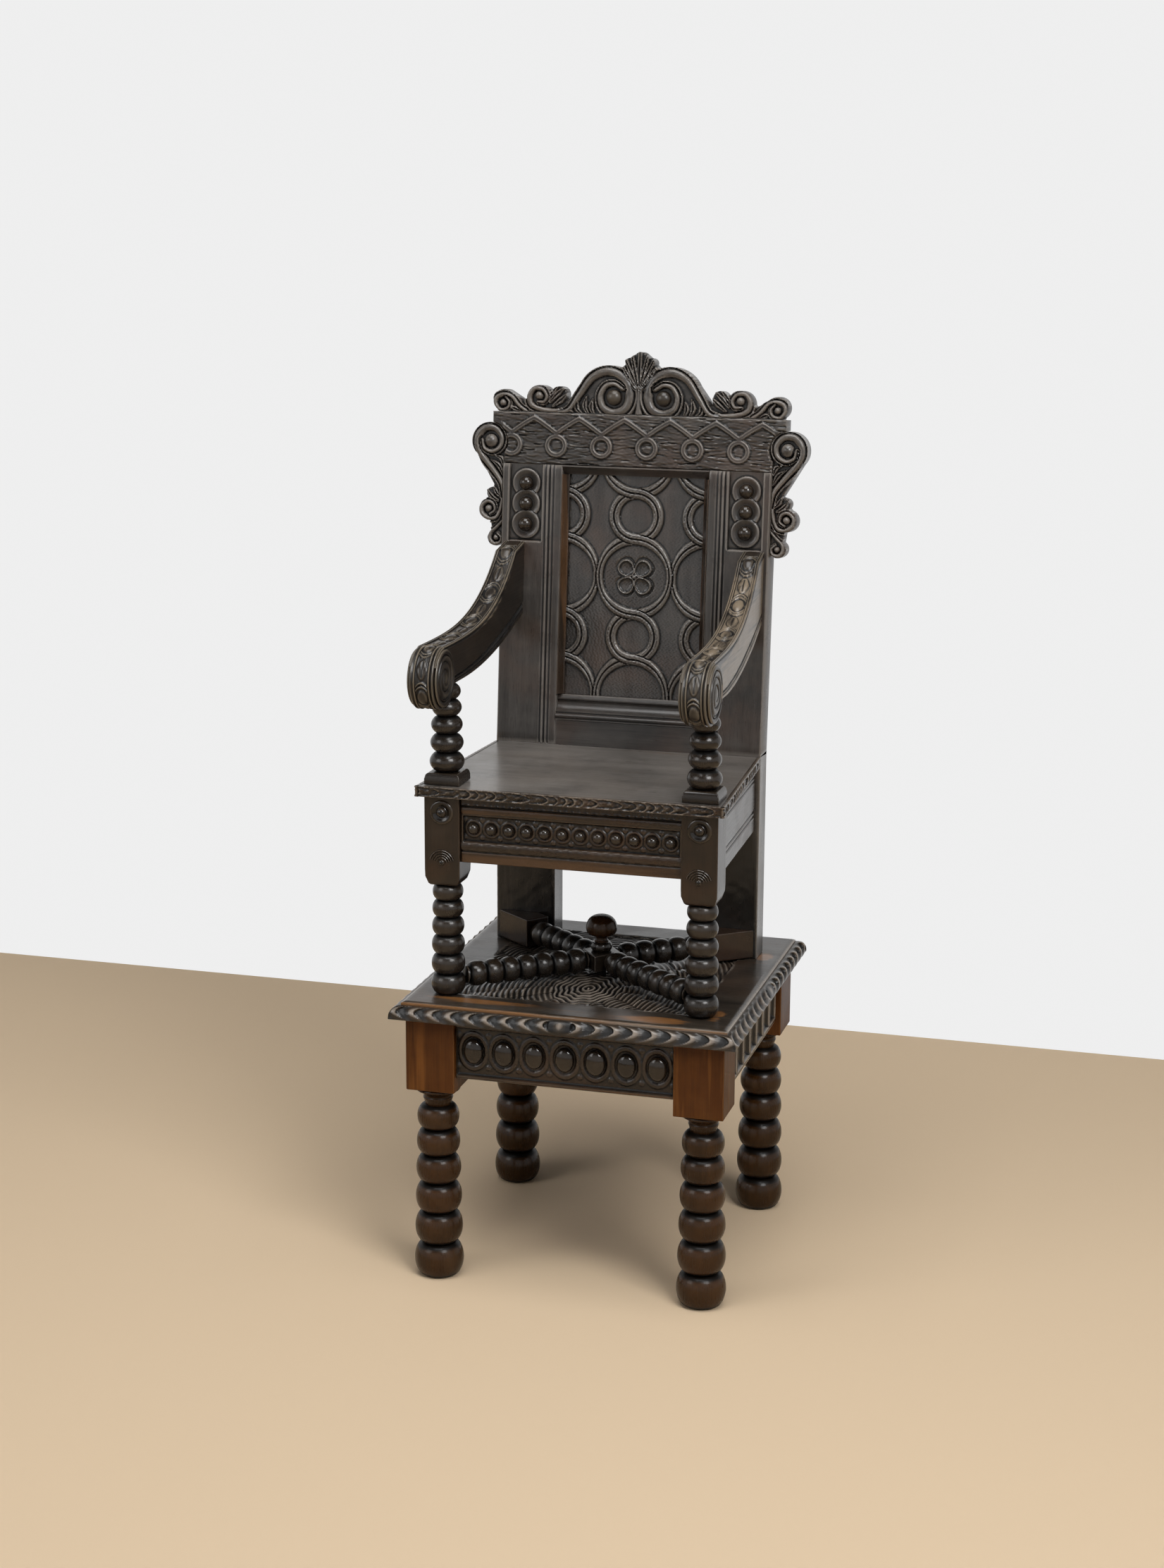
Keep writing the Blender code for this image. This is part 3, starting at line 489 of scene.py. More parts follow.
    def add_moulding(self, section: Sequence[Flat], place: Callable[[Array, Array, float], Array],
                     start: float, end: float) -> "Shell":
        """Add a straight moulding of one section.

        Args:
            section: Corners of the section.
            place: Turns section places and a place along the moulding into points.
            start: Where the moulding starts.
            end: Where it ends.

        Returns:
            This shell.
        """
        ring = np.array([*section, section[0]], float)
        done = lengths(ring)
        marks = np.linspace(0.0, done[-1], max(12, int(done[-1] / MOULDED_STEP)), endpoint=False)
        line = points_at(ring, np.unique(np.concatenate([marks, done[:-1]])))
        soft = (np.roll(line, 3, axis=0) + np.roll(line, -3, axis=0)) / 2
        outward = line - line.mean(0)
        outward /= np.maximum(np.linalg.norm(outward, axis=1, keepdims=True), 1e-9)
        wear = np.clip(((line - soft) * outward).sum(1) / MOULDED_WEAR, -1.0, 1.0)
        rings = np.stack([place(line[:, 0], line[:, 1], t) for t in np.linspace(start, end, 14)])
        return self.add_tube(rings, np.broadcast_to(wear, rings.shape[:2]))

    def make(self, name: str, bare_and_painted_light: Optional[Callable[[Array], Array]] = None) -> Piece:
        """Make the piece's object, with its faces turned outwards.

        Args:
            name: The piece's name.
            bare_and_painted_light: Gives each point's share of the finish's patch colour, if anywhere:
                worn-through wood, browner bands, painted shade under the seat and painted sheen on the arms.

        Returns:
            The new object, at the origin.
        """
        points = np.concatenate(self.points)
        mesh = bpy.data.meshes.new(name)
        mesh.from_pydata(points.tolist(), [], self.faces)
        mesh.attributes.new("wear", "FLOAT", "POINT").data.foreach_set("value", np.concatenate(self.wear))
        if bare_and_painted_light:
            mesh.attributes.new("bare_and_painted_light", "FLOAT", "POINT").data.foreach_set(
                "value", bare_and_painted_light(points).astype(np.float32))
        work = bmesh.new()
        work.from_mesh(mesh)
        bmesh.ops.dissolve_degenerate(work, dist=1e-7, edges=work.edges)
        bmesh.ops.recalc_face_normals(work, faces=work.faces)
        work.to_mesh(mesh)
        work.free()
        mesh.shade_smooth()
        mesh.set_sharp_from_angle(angle=SMOOTH_ANGLE)
        item = bpy.data.objects.new(name, mesh)
        bpy.context.scene.collection.objects.link(item)
        return item

    def dress(self, name: str, finish: "OakFinish", grain: Grain, body: str, node: str,
              bare_and_painted_light: Optional[Callable[[Array], Array]] = None) -> None:
        """Make the piece and hand it over in its finish.

        Args:
            name: The piece's name.
            finish: Its finish.
            grain: The way its fibres run.
            body: The body that it moves with.
            node: The node that it stands for.
            bare_and_painted_light: Gives each point's share of the finish's patch colour, if anywhere:
                worn-through wood, browner bands, painted shade under the seat and painted sheen on the arms.
        """
        hand_over(self.make(name, bare_and_painted_light), finish, grain, body, node)


class NodeWriter:
    """Writes nodes into one tree."""

    def __init__(self, tree: bpy.types.NodeTree) -> None:
        """Keep the tree that is written."""
        self.tree = tree

    def wire(self, made: bpy.types.Node, wires: dict) -> None:
        """Set a node's inputs.

        Args:
            made: The node.
            wires: Values or sockets for its inputs, by name or number.
        """
        for key, value in wires.items():
            if isinstance(value, Socket):
                self.tree.links.new(value, made.inputs[key])
            else:
                made.inputs[key].default_value = value

    def node(self, kind: str, wires: dict, **settings: object) -> bpy.types.Node:
        """Add a node.

        Args:
            kind: The node's type; a shader node's may leave its prefix out.
            wires: Values or sockets for its inputs, by name or number.
            **settings: The node's own settings.

        Returns:
            The new node.
        """
        made = self.tree.nodes.new(kind if "Node" in kind else "ShaderNode" + kind)
        for key, value in settings.items():
            setattr(made, key, value)
        self.wire(made, wires)
        return made

    def math(self, operation: str, first: object, second: object) -> Socket:
        """Add one sum of two values and return it."""
        return self.node("Math", {0: first, 1: second}, operation=operation).outputs[0]


class ShaderTree(NodeWriter):
    """Writes one node material step by step."""

    def __init__(self, name: str) -> None:
        """Start a material that holds a plain shader.

        Args:
            name: The material's name.
        """
        self.material = bpy.data.materials.new(name)
        self.material.use_nodes = True
        super().__init__(self.material.node_tree)
        self.shader = self.tree.nodes["Principled BSDF"]

    def noise(self, vector: Socket, scale: Sequence[float], detail: float) -> Socket:
        """Add stretched noise and return its value."""
        mapped = self.node("Mapping", {"Vector": vector, "Scale": scale})
        return self.node("TexNoise", {"Vector": mapped.outputs[0], "Scale": 1.0, "Detail": detail,
                                      "Roughness": 0.62}).outputs["Fac"]

    def between(self, value: Socket, low: float, high: float, start: float = 0.0, end: float = 1.0) -> Socket:
        """Map a value from one range to another, clamped, and return it."""
        return self.node("MapRange", {"Value": value, "From Min": low, "From Max": high,
                                      "To Min": start, "To Max": end}).outputs["Result"]

    def mix(self, share: Socket, first: object, second: object) -> Socket:
        """Mix two colours and return the result."""
        values = [(*v, 1.0) if isinstance(v, tuple) else v for v in (first, second)]
        return self.node("Mix", {0: share, 6: values[0], 7: values[1]}, data_type="RGBA").outputs[2]


@dataclass(frozen=True)
class OakFinish:
    """One finish of the old oak: its colours, its polish and the depth of its grain."""

    name: str
    slot: str
    body: Colour
    shade: Colour
    rubbed: Colour
    stain: Colour
    bare_and_painted_light: Colour = (0.20, 0.085, 0.026)
    roughness: tuple[float, float] = (0.22, 0.40)
    coat: float = 0.24
    specular: float = 0.32
    fibre: float = 0.5
    rubbing: float = 0.8
    streak: float = 0.7

    def material(self, grain: Grain) -> bpy.types.Material:
        """Return this finish with its fibres along one axis, made on first use.

        Args:
            grain: The axis of the fibres.

        Returns:
            The material.
        """
        name = "%s_along_%s" % (self.name, grain.name.lower())
        found = bpy.data.materials.get(name)
        return found if found else self.make(name, grain)

    def make(self, name: str, grain: Grain) -> bpy.types.Material:
        """Write the finish's nodes.

        Args:
            name: The material's name.
            grain: The axis of the fibres.

        Returns:
            The new material.
        """
        tree = ShaderTree(name)
        place = tree.node("TexCoord", {}).outputs["Object"]
        fine, broad = [FIBRE_SCALE[0]] * 3, [STREAK_SCALE[0]] * 3
        fine[grain.value], broad[grain.value] = FIBRE_SCALE[1], STREAK_SCALE[1]
        fibres = tree.noise(place, fine, 5.0)
        streaks = tree.noise(place, broad, 3.0)
        mottle = tree.noise(place, [MOTTLE_SCALE] * 3, 4.0)
        specks = tree.noise(place, [SPECK_SCALE] * 3, 2.0)
        stains = tree.noise(place, [STAIN_SCALE] * 3, 3.0)
        wear = tree.node("Attribute", {}, attribute_name="wear").outputs["Fac"]
        bare_and_painted_light = tree.node("Attribute", {}, attribute_name="bare_and_painted_light").outputs["Fac"]
        worn = tree.math("ADD", wear, tree.math("MULTIPLY", tree.math("SUBTRACT", mottle, 0.5), 0.9))
        hollow = tree.between(worn, 0.0, -0.55)
        ridge = tree.between(worn, 0.16, 0.80, 0.0, self.rubbing)
        colour = tree.mix(tree.between(streaks, 0.36, 0.70, 0.0, self.streak), self.body, self.shade)
        colour = tree.mix(tree.between(stains, 0.46, 0.66, 0.0, 0.65), colour, self.stain)
        colour = tree.mix(tree.between(fibres, 0.52, 0.74, 0.0, 0.85 * self.streak), colour, self.shade)
        colour = tree.mix(tree.between(mottle, 0.55, 0.80, 0.0, 0.20), colour, self.rubbed)
        colour = tree.mix(hollow, colour, tuple(0.25 * c for c in self.shade))
        colour = tree.mix(ridge, colour, self.rubbed)
        # Patches take the finish's bare colour: worn-through wood on most pieces, painted shade under the seat
        # on the rear posts, and painted sheen on the arms' outer sides.
        patch = tree.math("ADD", tree.math("MULTIPLY", bare_and_painted_light, 1.5), tree.math("MULTIPLY", streaks, 1.9))
        through = tree.math("MULTIPLY", tree.between(patch, 1.37, 1.62, 0.0, 0.92),
                            tree.math("SUBTRACT", 1.0, hollow))
        gloss = tree.between(mottle, 0.30, 0.70, *self.roughness)
        gloss = tree.math("ADD", gloss, tree.math("MULTIPLY", hollow, 0.22))
        gloss = tree.math("ADD", gloss, tree.math("MULTIPLY", tree.math("SUBTRACT", fibres, 0.5), 0.20))
        relief = tree.math("ADD", tree.math("MULTIPLY", fibres, self.fibre),
                           tree.math("MULTIPLY", specks, 0.10 + 0.4 * self.fibre))
        bump = tree.node("Bump", {"Height": relief, "Strength": 0.30, "Distance": 0.0011})
        tree.wire(tree.shader, {
            "Base Color": tree.mix(through, colour, self.bare_and_painted_light), "Roughness": gloss, "Normal": bump.outputs[0],
            "Coat Weight": self.coat, "Coat Roughness": 0.7 * self.roughness[0],
            "Specular IOR Level": self.specular})
        return tree.material


DARK = OakFinish("dark_oak", "dark_oak", (0.0180, 0.0105, 0.0056), (0.005, 0.003, 0.002),
                 (0.064, 0.044, 0.029), stain=(0.036, 0.015, 0.006), bare_and_painted_light=(0.060, 0.030, 0.013), rubbing=0.5)
# Its near-black bare colour only shows on the rear posts, as painted shade under the seat.
GREYED = OakFinish("greyed_oak", "worn_oak", (0.044, 0.039, 0.035), (0.008, 0.0065, 0.0055),
                   (0.135, 0.120, 0.106), stain=(0.056, 0.034, 0.024), bare_and_painted_light=(0.007, 0.006, 0.005))
# This finish's pale ridges are rubbed wear and painted highlight, on the stand's top, nulled edges and flutes.
RUBBED_HIGHLIT = OakFinish("rubbed_highlit_oak", "dark_oak", (0.034, 0.026, 0.019), (0.004, 0.003, 0.002),
                   (0.200, 0.168, 0.138), stain=(0.046, 0.025, 0.013), bare_and_painted_light=(0.155, 0.068, 0.021), rubbing=1.0)
RED = OakFinish("red_oak", "red_oak", (0.086, 0.029, 0.0055), (0.026, 0.009, 0.003), (0.150, 0.068, 0.022),
                stain=(0.046, 0.014, 0.004), bare_and_painted_light=(0.135, 0.050, 0.011), roughness=(0.34, 0.50), coat=0.02,
                specular=0.14, rubbing=0.55)
# This finish's pale grey on the seat top is partly worn, greyed wood and partly painted sheen.
WORN_SHEENED = OakFinish("worn_oak", "worn_oak", (0.138, 0.124, 0.111), (0.050, 0.044, 0.039), (0.175, 0.160, 0.144),
                 stain=(0.110, 0.094, 0.080), fibre=0.8, streak=0.5)
POLISHED = OakFinish("polished_oak", "polished_oak", (0.0350, 0.0152, 0.0042), (0.010, 0.0050, 0.0020),
                     (0.088, 0.048, 0.022), stain=(0.046, 0.019, 0.006), roughness=(0.20, 0.34), coat=0.12,
                     specular=0.16, fibre=0.30, rubbing=0.7, streak=0.6)
WAXED = OakFinish("waxed_oak", "polished_oak", (0.0165, 0.0120, 0.0085), (0.006, 0.004, 0.003),
                  (0.055, 0.042, 0.031), stain=(0.024, 0.014, 0.007), roughness=(0.20, 0.35), coat=0.18,
                  fibre=0.25, rubbing=0.6, streak=0.5)
# Its pale bare colour shows on the arms: rubbed wear along their tops and painted sheen on their outer sides;
# its rubbed colour is also set paler in part as painted highlight.
HANDLED = OakFinish("handled_oak", "polished_oak", (0.0140, 0.0100, 0.0072), (0.005, 0.0035, 0.0025),
                    (0.120, 0.099, 0.072), stain=(0.022, 0.014, 0.008), bare_and_painted_light=(0.160, 0.124, 0.085),
                    roughness=(0.30, 0.44), coat=0.22, fibre=0.04, rubbing=0.75, streak=0.4)
PANELLED = replace(GREYED, name="panel_oak", body=(0.039, 0.0345, 0.031), rubbed=(0.110, 0.098, 0.086),
                   roughness=(0.15, 0.27), coat=0.50)
# This finish paints the seat edge's arris and chip ridges pale: rubbed wear and painted highlight.
CHIPPED_HIGHLIT = replace(DARK, name="chipped_highlit_oak", rubbed=(0.150, 0.122, 0.096), rubbing=0.8)
BURNISHED = replace(HANDLED, name="burnished_oak", slot="dark_oak", body=(0.0115, 0.0078, 0.0052),
                    rubbed=(0.060, 0.044, 0.030), roughness=(0.12, 0.20), coat=0.36, specular=0.22)


class GrowthTree(NodeWriter):
    """Writes one geometry node tree with named inputs, and grows pieces from it."""

    def __init__(self, name: str, inputs: dict[str, str]) -> None:
        """Start a tree.

        Args:
            name: The tree's name.
            inputs: Socket types by the inputs' names.
        """
        super().__init__(bpy.data.node_groups.new(name, "GeometryNodeTree"))
        sockets = self.tree.interface
        self.labels = {label: sockets.new_socket(name=label, in_out="INPUT", socket_type="NodeSocket" + kind)
                       for label, kind in inputs.items()}
        sockets.new_socket(name="Geometry", in_out="OUTPUT", socket_type="NodeSocketGeometry")
        self.given = self.tree.nodes.new("NodeGroupInput").outputs

    def stand_on(self, points: Socket, scale: Socket) -> None:
        """Stand copies of the given piece on points, make them real and give them their finish.

        Args:
            points: The points.
            scale: Scale of each copy.
        """
        piece = self.node("GeometryNodeObjectInfo", {"Object": self.given["Piece"]})
        copies = self.node("GeometryNodeInstanceOnPoints", {
            "Points": points, "Instance": piece.outputs["Geometry"], "Scale": scale})
        real = self.node("GeometryNodeRealizeInstances", {"Geometry": copies.outputs[0]})
        dressed = self.node("GeometryNodeSetMaterial", {
            "Geometry": real.outputs[0], "Material": self.given["Finish"]})
        self.node("NodeGroupOutput", {0: dressed.outputs[0]})

    def grow(self, name: str, **values: object) -> Piece:
        """Grow a plain mesh from the tree.

        Args:
            name: The new piece's name.
            **values: The tree's inputs, by name with _ for a space.

        Returns:
            The new object, at the origin.
        """
        holder = bpy.data.objects.new(name + "_holder", bpy.data.meshes.new(name + "_holder"))
        bpy.context.scene.collection.objects.link(holder)
        modifier = holder.modifiers.new(name, "NODES")
        modifier.node_group = self.tree
        for label, value in values.items():
            modifier[self.labels[label.replace("_", " ")].identifier] = value
        bpy.context.view_layer.update()
        graph = bpy.context.evaluated_depsgraph_get()
        mesh = bpy.data.meshes.new_from_object(holder.evaluated_get(graph), preserve_all_data_layers=True,
                                               depsgraph=graph)
        mesh.name = name
        holder.modifiers.remove(modifier)
        bpy.data.objects.remove(holder)
        item = bpy.data.objects.new(name, mesh)
        bpy.context.scene.collection.objects.link(item)
        return item


def bobbin_tree() -> GrowthTree:
    """Write the tree that stacks bobbins, each a little taller than the one above it.

    Returns:
        The tree.
    """
    tree = GrowthTree("bobbin_row", {"Piece": "Object", "Count": "Int", "Length": "Float",
                                     "Low Radius": "Float", "High Radius": "Float", "Growth": "Float",
                                     "Finish": "Material"})
    given, math_of = tree.given, tree.math
    step = tree.node("GeometryNodeInputIndex", {}).outputs[0]
    last = math_of("SUBTRACT", given["Count"], 1.0)
    first_share = math_of("ADD", math_of("MULTIPLY", given["Growth"], last), 1.0)
    share = math_of("SUBTRACT", first_share, math_of("MULTIPLY", given["Growth"], step))
    total = math_of("MULTIPLY", given["Count"], math_of("MULTIPLY", math_of("ADD", first_share, 1.0), 0.5))
    unit = math_of("DIVIDE", given["Length"], total)
    lost = math_of("MULTIPLY", math_of("MULTIPLY", step, math_of("SUBTRACT", step, 1.0)),
                   math_of("MULTIPLY", given["Growth"], 0.5))
    below = math_of("SUBTRACT", math_of("MULTIPLY", step, first_share), lost)
    height = math_of("MULTIPLY", unit, math_of("ADD", below, math_of("MULTIPLY", share, 0.5)))
    slope = math_of("DIVIDE", math_of("SUBTRACT", given["High Radius"], given["Low Radius"]),
                    math_of("MAXIMUM", last, 1.0))
    radius = math_of("ADD", given["Low Radius"], math_of("MULTIPLY", slope, step))
    line = tree.node("GeometryNodeMeshLine", {"Count": given["Count"], "Offset": (0.0, 0.0, 0.0)})
    spot = tree.node("CombineXYZ", {"Z": height})
    points = tree.node("GeometryNodeSetPosition", {"Geometry": line.outputs[0], "Position": spot.outputs[0]})
    scale = tree.node("CombineXYZ", {"X": radius, "Y": radius, "Z": math_of("MULTIPLY", unit, share)})
    tree.stand_on(points.outputs[0], scale.outputs[0])
    return tree


def row_tree() -> GrowthTree:
    """Write the tree that sets copies of one carved piece in a row, each a little different in size.

    Returns:
        The tree.
    """
    tree = GrowthTree("carved_row", {"Piece": "Object", "Count": "Int", "Start": "Vector", "Step": "Vector",
                                     "Smallest": "Float", "Seed": "Int", "Finish": "Material"})
    given = tree.given
    line = tree.node("GeometryNodeMeshLine", {"Count": given["Count"], "Start Location": given["Start"],
                                              "Offset": given["Step"]})
    size = tree.node("FunctionNodeRandomValue", {"Min": given["Smallest"], "Max": 1.0, "Seed": given["Seed"]})
    tree.stand_on(line.outputs[0], size.outputs["Value"])
    return tree


BOBBIN_TREE = bobbin_tree()
ROW_TREE = row_tree()


def hand_over(item: Piece, finish: OakFinish, grain: Grain, body: str, *nodes: str) -> None:
    """Give a piece its finish, set it on its body and let it stand for its nodes.

    Args:
        item: The piece.
        finish: Its finish.
        grain: The way its fibres run.
        body: The body that it moves with.
        *nodes: The nodes that it stands for.
    """
    item.data.materials.clear()
    item.data.materials.append(finish.material(grain))
    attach(item, body)
    if nodes:
        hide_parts(*nodes)
    LOG.info("%s: %d faces on %s", item.name, len(item.data.polygons), body)


def unit_bobbin(name: str, waist: float, fullness: float) -> Piece:
    """Make a bobbin of unit radius and height that turned rows are grown from, dark in its grooves.

    Args:
        name: The bobbin's name.
        waist: Radius of the groove between two bobbins.
        fullness: Lower for a fuller round, higher for a sharper disc.

    Returns:
        The bobbin's object.
    """
    sides = 44
    angles = np.linspace(-math.pi / 2, math.pi / 2, 19)
    swell = np.clip(np.cos(angles), 0.0, None) ** fullness
    line = np.stack([waist + (1 - waist) * swell, np.sin(angles) / 2], -1)
    wear = 0.12 - 1.1 * smooth(np.abs(line[:, 1]), 0.30, 0.49)
    return Shell().add_tube(turned_rings(line, sides), np.repeat(wear[:, None], sides, axis=1)).make(name)


def boss(name: str, half_along: float, half_up: float, rise: float, face: Face) -> Piece:
    """Make one smooth boss, turned to stand on a face.

    Args:
        name: The boss's name.
        half_along: Half of its width.
        half_up: Half of its height.
        rise: How far it stands out.
        face: The face whose way it is turned.

    Returns:
        The boss's object, with its base at the origin.
    """
    sides = 28
    angles = np.linspace(-0.35, math.pi / 2 - 0.12, 9)
    turn = np.linspace(0.0, math.tau, sides, endpoint=False)
    a = half_along * np.cos(angles)[:, None] * np.cos(turn)
    b = half_up * np.cos(angles)[:, None] * np.sin(turn)
    h = np.repeat(rise * np.sin(angles)[:, None], sides, axis=1)
    wear = 0.30 - 1.2 * smooth(-h / rise, -0.5, 0.1)
    return Shell().add_tube(Face((0.0, 0.0, 0.0), face.along, face.up).place(a, b, h), wear).make(name)


@dataclass
class Workbench:
    """Loose pieces that rows are grown from, and the calls that grow them."""

    round_bobbin: Piece = field(default_factory=lambda: unit_bobbin("round_bobbin", 0.58, 0.92))
    disc_bobbin: Piece = field(default_factory=lambda: unit_bobbin("disc_bobbin", 0.58, 1.5))

    def bobbins(self, name: str, matrix: Matrix, count: int, length: float, low: float, high: float,
                growth: float, grain: Grain, body: str, node: str, discs: bool = False,
                finish: OakFinish = WAXED) -> None:
        """Grow a row of bobbins and stand it in place.

        Args:
            name: The row's name.
            matrix: Where its lower end stands, and which way.
            count: Number of bobbins.
            length: Length of the row.
            low: Radius of the first bobbin.
            high: Radius of the last bobbin.
            growth: How much each is taller than the next, as a share of the last.
            grain: The way its fibres run.
            body: The body that it moves with.
            node: The node that it stands for.
            discs: Whether the bobbins are sharp discs.
            finish: The row's finish.
        """
        piece = self.disc_bobbin if discs else self.round_bobbin
        item = BOBBIN_TREE.grow(name, Piece=piece, Count=count, Length=length, Low_Radius=low,
                                High_Radius=high, Growth=growth, Finish=finish.material(grain))
        item.data.transform(matrix)
        hand_over(item, finish, grain, body, node)

    def row(self, name: str, piece: Piece, count: int, start: Sequence[float], step: Sequence[float],
            finish: OakFinish, grain: Grain, body: str, node: str, seed: int = 4) -> None:
        """Grow a row of one carved piece, which is then put away.

        Args:
            name: The row's name.
            piece: The piece that repeats.
            count: How many stand in the row.
            start: The first one's place.
            step: From each to the next.
            finish: The row's finish.
            grain: The way its fibres run.
            body: The body that it moves with.
            node: The node that it stands for.
            seed: Seed of their small differences in size.
        """
        item = ROW_TREE.grow(name, Piece=piece, Count=count, Start=tuple(start), Step=tuple(step),
                             Smallest=0.93, Seed=seed, Finish=finish.material(grain))
        bpy.data.objects.remove(piece)
        hand_over(item, finish, grain, body, node)

    def clear(self) -> None:
        """Put the loose pieces away."""
        for piece in (self.round_bobbin, self.disc_bobbin):
            bpy.data.objects.remove(piece)


@dataclass
class Assembly:
    """A sub-assembly that is built at the shared workbench."""

    bench: Workbench


@dataclass
class Stand(Assembly):
    """The low stand: carved top, nulled edge, aprons and bobbin legs."""

    half_width: float = 0.197
    half_depth: float = 0.195
    top_thickness: float = 0.0185
    field_half: float = 0.147
    roundel_front: float = 0.079
    roundel_radius: float = 0.041
    leaf_row: float = 0.032
    edge_width: float = 0.012
    edge_height: float = 0.0171
    edge_drop: float = 0.004
    nulling_pitch: float = 0.0226
    leg: Flat = (0.163, 0.161)
    leg_half: float = 0.030
    block_height: float = 0.0917
    neck_height: float = 0.0235
    apron_low: float = 0.2592
    apron_setback: float = 0.006
    apron_thickness: float = 0.020
    oval_pitch: float = 0.0373
    oval_middle: float = 0.2935
    flute_pitch: float = 0.0368
    flute_half: float = 0.0150
    under_top: float = 0.3327

    def build(self) -> None:
        """Build and dress the whole stand."""
        self.build_top()
        wide, deep = self.half_width, self.half_depth
        sides = (("front", wide, deep), ("right", deep, wide), ("back", wide, deep), ("left", deep, wide))
        for quarter, (name, along, out) in enumerate(sides):
            self.build_edge(name, quarter, along, out)
        self.build_front_apron()
        self.build_other_aprons()
        for row, sign_y in (("front", -1), ("back", 1)):
            for hand, sign_x in HANDS:
                self.build_leg("leg_%s_%s" % (row, hand), sign_x * self.leg[0], sign_y * self.leg[1])

    def top_height(self, a: Array, b: Array) -> Array:
        """Carve the top's scalloped roundel with rows of leaves round it.

        Args:
            a: Places along.
            b: Places up.

        Returns:
            Heights.
        """
        inside = smooth(self.field_half - np.maximum(np.abs(a), np.abs(b)), 0.0, 0.003)
        depth = 0.62 * (b + self.roundel_front)
        radius, turn = np.hypot(a, depth), np.arctan2(depth, a)
        rings = np.cos(math.tau * radius / 0.0064 + 1.6 * np.cos(9 * turn) * smooth(radius, 0.006, 0.034))
        row = np.floor((radius - self.roundel_radius) / self.leaf_row)
        share = (radius - self.roundel_radius) / self.leaf_row - row
        leaf = np.abs(np.sin(turn * (8 + 3 * row) + row * math.pi / 2)) ** 0.7 * (1.0 - share ** 5)
        vein = 0.22 * np.cos(math.tau * radius / 0.0062)
        ridges = np.where(radius < self.roundel_radius, 0.0014 * rings, 0.0028 * (leaf + vein) - 0.0014)
        return inside * (ridges - 0.0018) + 0.00015 * gouged(a, b, 0.09) - 0.0002

    @staticmethod
    def top_bare(points: Array) -> Array:
        """Rub patches of the top through to the wood along its front and beside its right legs.

        Args:
            points: The board's points.

        Returns:
            Bareness from 0 to 1.
        """
        x, y = points[:, 0], points[:, 1] - STAND_Y
        spots = ((-0.115, -0.172, 0.060, 0.014, 0.46), (0.020, -0.178, 0.090, 0.008, 0.42),
                 (0.112, -0.176, 0.036, 0.010, 0.80), (0.176, 0.102, 0.013, 0.016, 0.80),
                 (0.172, -0.140, 0.010, 0.022, 0.60), (0.0, -0.1945, 0.9, 0.0032, 0.40))
        worn = sum(much * np.exp(-((x - a) / wide) ** 2 - ((y - b) / deep) ** 2)
                   for a, b, wide, deep, much in spots)
        return np.clip(worn, 0.0, 1.0)

    def build_top(self) -> None:
        """Build the top board with its carved field inside a plain, worn border."""
        half = self.field_half
        grid = []
        for outer in (self.half_width, self.half_depth):
            border = np.linspace(half, outer, 14)[1:]
            grid.append(np.concatenate([-border[::-1], np.linspace(-half, half, 268), border]))
        face = Face((0.0, STAND_Y, STAND_TOP), up=(0.0, 1.0, 0.0))
        Shell().add_relief(face, *grid, self.top_height, self.top_thickness, edge=0.0018).dress(
            "stand_top_board", RUBBED_HIGHLIT, Grain.X, "stand", "stand_top", self.top_bare)

    def build_edge(self, name: str, quarter: int, half_along: float, half_out: float) -> None:
        """Build one mitred edge moulding, nulled with leaves that run out from its middle.

        Args:
            name: The side's name.
            quarter: Quarter turns from the front.
            half_along: Half of the board's length on this side.
            half_out: Board's edge from the stand's middle.
        """
        top, rows = STAND_TOP - self.edge_drop, 18
        low = top - self.edge_height
        angles = np.linspace(math.pi / 2, -0.25, rows)
        reach, drop = self.edge_width * 0.80, self.edge_height * 0.72
        out = self.edge_width - reach + reach * np.cos(angles)
        out = np.concatenate([[0.0], out, [self.edge_width * 0.55, 0.0]])
        level = np.concatenate([[top], top - drop + drop * np.sin(angles), [low, low]])
        share = np.concatenate([[0.0], np.linspace(0.0, 1.0, rows), [1.0, 1.0]])
        push = np.concatenate([[0.0], np.sin(np.pi * np.clip(share[1:-2], 0.04, 0.96)), [0.0, 0.0]])
        run = np.linspace(-1.0, 1.0, 340)[:, None] * (half_along + GAP + out)
        lean = np.abs(run) / self.nulling_pitch - 0.80 * (1.0 - (2.0 * share - 1.0) ** 2)
        phase = lean - np.floor(lean)
        scoop = smooth(phase, 0.0, 0.12) * (1.0 - 0.85 * smooth(phase, 0.10, 0.95))
        vein = 0.30 * bell(share - 0.52, 0.16) * smooth(phase, 0.2, 0.8)
        middle = smooth(np.abs(run), 0.013, 0.015)
        depth = (0.0046 * (1.0 - scoop) * middle + 0.0022 * vein * middle + 0.0004) * push
        # The crests of the lobes are painted pale: rubbed wear and painted highlight.
        wear = np.clip(2.2 * scoop - 1.30 - 1.6 * vein, -1.0, 1.0) * push
        y = -(half_out + GAP + out) + 0.75 * depth
        z = level - 0.45 * depth * (share < 0.6)
        turn = np.array(Matrix.Rotation(quarter * math.pi / 2, 3, "Z"))
        rings = np.stack([run, y, z], -1) @ turn.T + np.array([0.0, STAND_Y, 0.0])
        grain = Grain.X if quarter % 2 == 0 else Grain.Y
        Shell().add_tube(rings, wear).dress("nulled_edge_" + name, RUBBED_HIGHLIT, grain, "stand", "edge_" + name)

